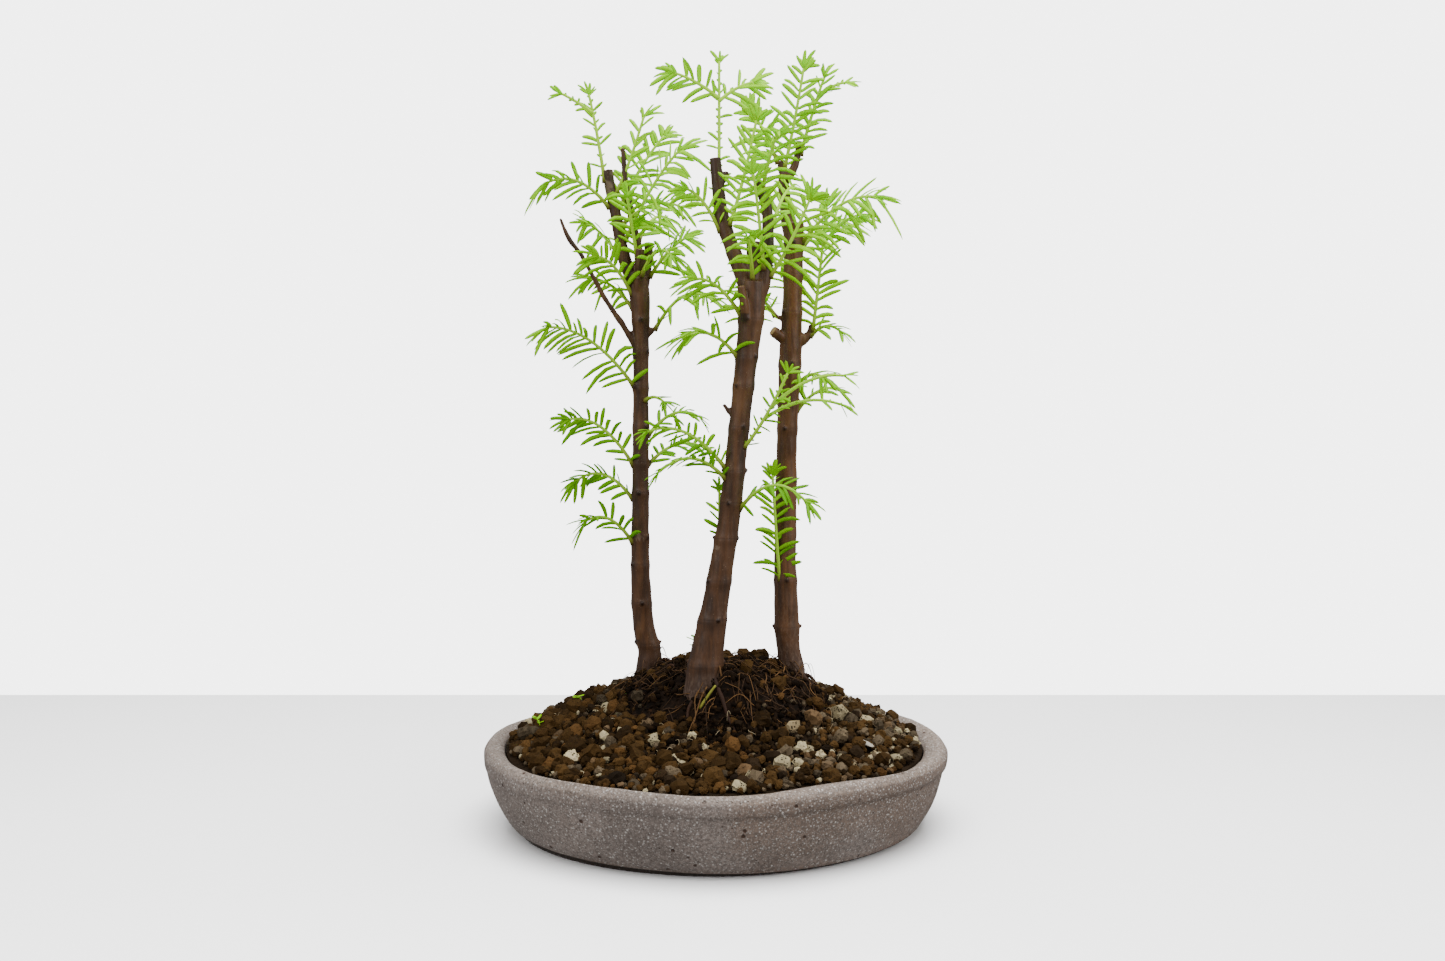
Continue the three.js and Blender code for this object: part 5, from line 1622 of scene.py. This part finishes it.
# ------------------------------------------------------------------ the add-on
class BONSAI_OT_pot(bpy.types.Operator):
    """Make the stoneware pot"""
    bl_idname = "bonsai.pot"
    bl_label = "Pot"

    def execute(self, context):
        build_pot(context.scene.bonsai.pot)
        return {"FINISHED"}


class BONSAI_OT_screens(bpy.types.Operator):
    """Give the drain screens their black plastic"""
    bl_idname = "bonsai.screens"
    bl_label = "Drain Screens"

    def execute(self, context):
        material = black_mesh()
        for name in ("drain_screen_left", "drain_screen_right"):
            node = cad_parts[name]
            node.material_slots[0].link = "OBJECT"
            node.material_slots[0].material = material
        return {"FINISHED"}


class BONSAI_OT_earth(bpy.types.Operator):
    """Make the gravel bed and the root ball"""
    bl_idname = "bonsai.earth"
    bl_label = "Earth"

    def execute(self, context):
        settings = context.scene.bonsai
        build_bed(settings.pot, settings.earth)
        build_ball(settings.pot, settings.earth)
        return {"FINISHED"}


class BONSAI_OT_grit(bpy.types.Operator):
    """Strew the loose stones over the gravel"""
    bl_idname = "bonsai.grit"
    bl_label = "Grit"

    def execute(self, context):
        settings = context.scene.bonsai
        build_grit(settings.pot, settings.earth)
        return {"FINISHED"}


class BONSAI_OT_roots(bpy.types.Operator):
    """Strew crumbs and fibres and lay the surface roots, the flake and the stick"""
    bl_idname = "bonsai.roots"
    bl_label = "Roots and Crumbs"

    def execute(self, context):
        settings = context.scene.bonsai
        rng = np.random.default_rng(11)
        for build in (build_crumbs, build_fibres, build_hairs, build_surface_roots):
            build(rng, settings.pot, settings.earth)
        build_litter(settings.pot, settings.earth)
        return {"FINISHED"}


class BONSAI_OT_trees(bpy.types.Operator):
    """Make the three trunks with their limbs"""
    bl_idname = "bonsai.trees"
    bl_label = "Trunks"

    def execute(self, context):
        wood = context.scene.bonsai.wood
        for tree in TREES:
            build_tree(tree, wood, red_bark(wood, tree))
        return {"FINISHED"}


class BONSAI_OT_shoots(bpy.types.Operator):
    """Make every shoot with its leaflets"""
    bl_idname = "bonsai.shoots"
    bl_label = "Shoots"

    def execute(self, context):
        leaf = context.scene.bonsai.leaf
        material = green_leaf(leaf)
        for tree, rows in SHOOTS.items():
            for number, row in enumerate(rows, 1):
                build_shoot(tree, number, row, leaf, material)
        return {"FINISHED"}


class BONSAI_OT_seedlings(bpy.types.Operator):
    """Make the three seedlings"""
    bl_idname = "bonsai.seedlings"
    bl_label = "Seedlings"

    def execute(self, context):
        settings = context.scene.bonsai
        material = bpy.data.materials.get("green_leaf") or green_leaf(settings.leaf)
        build_seedlings(settings.pot, settings.earth, material)
        return {"FINISHED"}


class BONSAI_OT_stage(bpy.types.Operator):
    """Set up the table, the room, the lights and the camera"""
    bl_idname = "bonsai.stage"
    bl_label = "Stage"

    def execute(self, context):
        build_stage(context.scene.bonsai.stage)
        return {"FINISHED"}


OPERATORS = (
    BONSAI_OT_pot, BONSAI_OT_screens, BONSAI_OT_earth, BONSAI_OT_grit, BONSAI_OT_roots,
    BONSAI_OT_trees, BONSAI_OT_shoots, BONSAI_OT_seedlings, BONSAI_OT_stage,
)


class BONSAI_PT_panel(bpy.types.Panel):
    """Lists the pieces of the planting in the order in which they are made"""
    bl_idname = "BONSAI_PT_panel"
    bl_label = "Bonsai Group Planting"
    bl_space_type = "VIEW_3D"
    bl_region_type = "UI"
    bl_category = "Bonsai"

    def draw(self, context):
        settings = context.scene.bonsai
        for operator in OPERATORS:
            self.layout.operator(operator.bl_idname)
        for group in (settings.pot, settings.earth, settings.wood, settings.leaf,
                      settings.stage):
            box = self.layout.box()
            for name in group.__annotations__:
                box.prop(group, name)


CLASSES = (
    PotSettings, EarthSettings, WoodSettings, LeafSettings, StageSettings, BonsaiSettings,
    *OPERATORS, BONSAI_PT_panel,
)


def register():
    for cls in CLASSES:
        bpy.utils.register_class(cls)
    bpy.types.Scene.bonsai = PointerProperty(type=BonsaiSettings)


def unregister():
    del bpy.types.Scene.bonsai
    for cls in reversed(CLASSES):
        bpy.utils.unregister_class(cls)


def main():
    register()
    for operator in OPERATORS:
        getattr(bpy.ops.bonsai, operator.bl_idname.split(".")[1])()


if __name__ == "__main__":
    main()
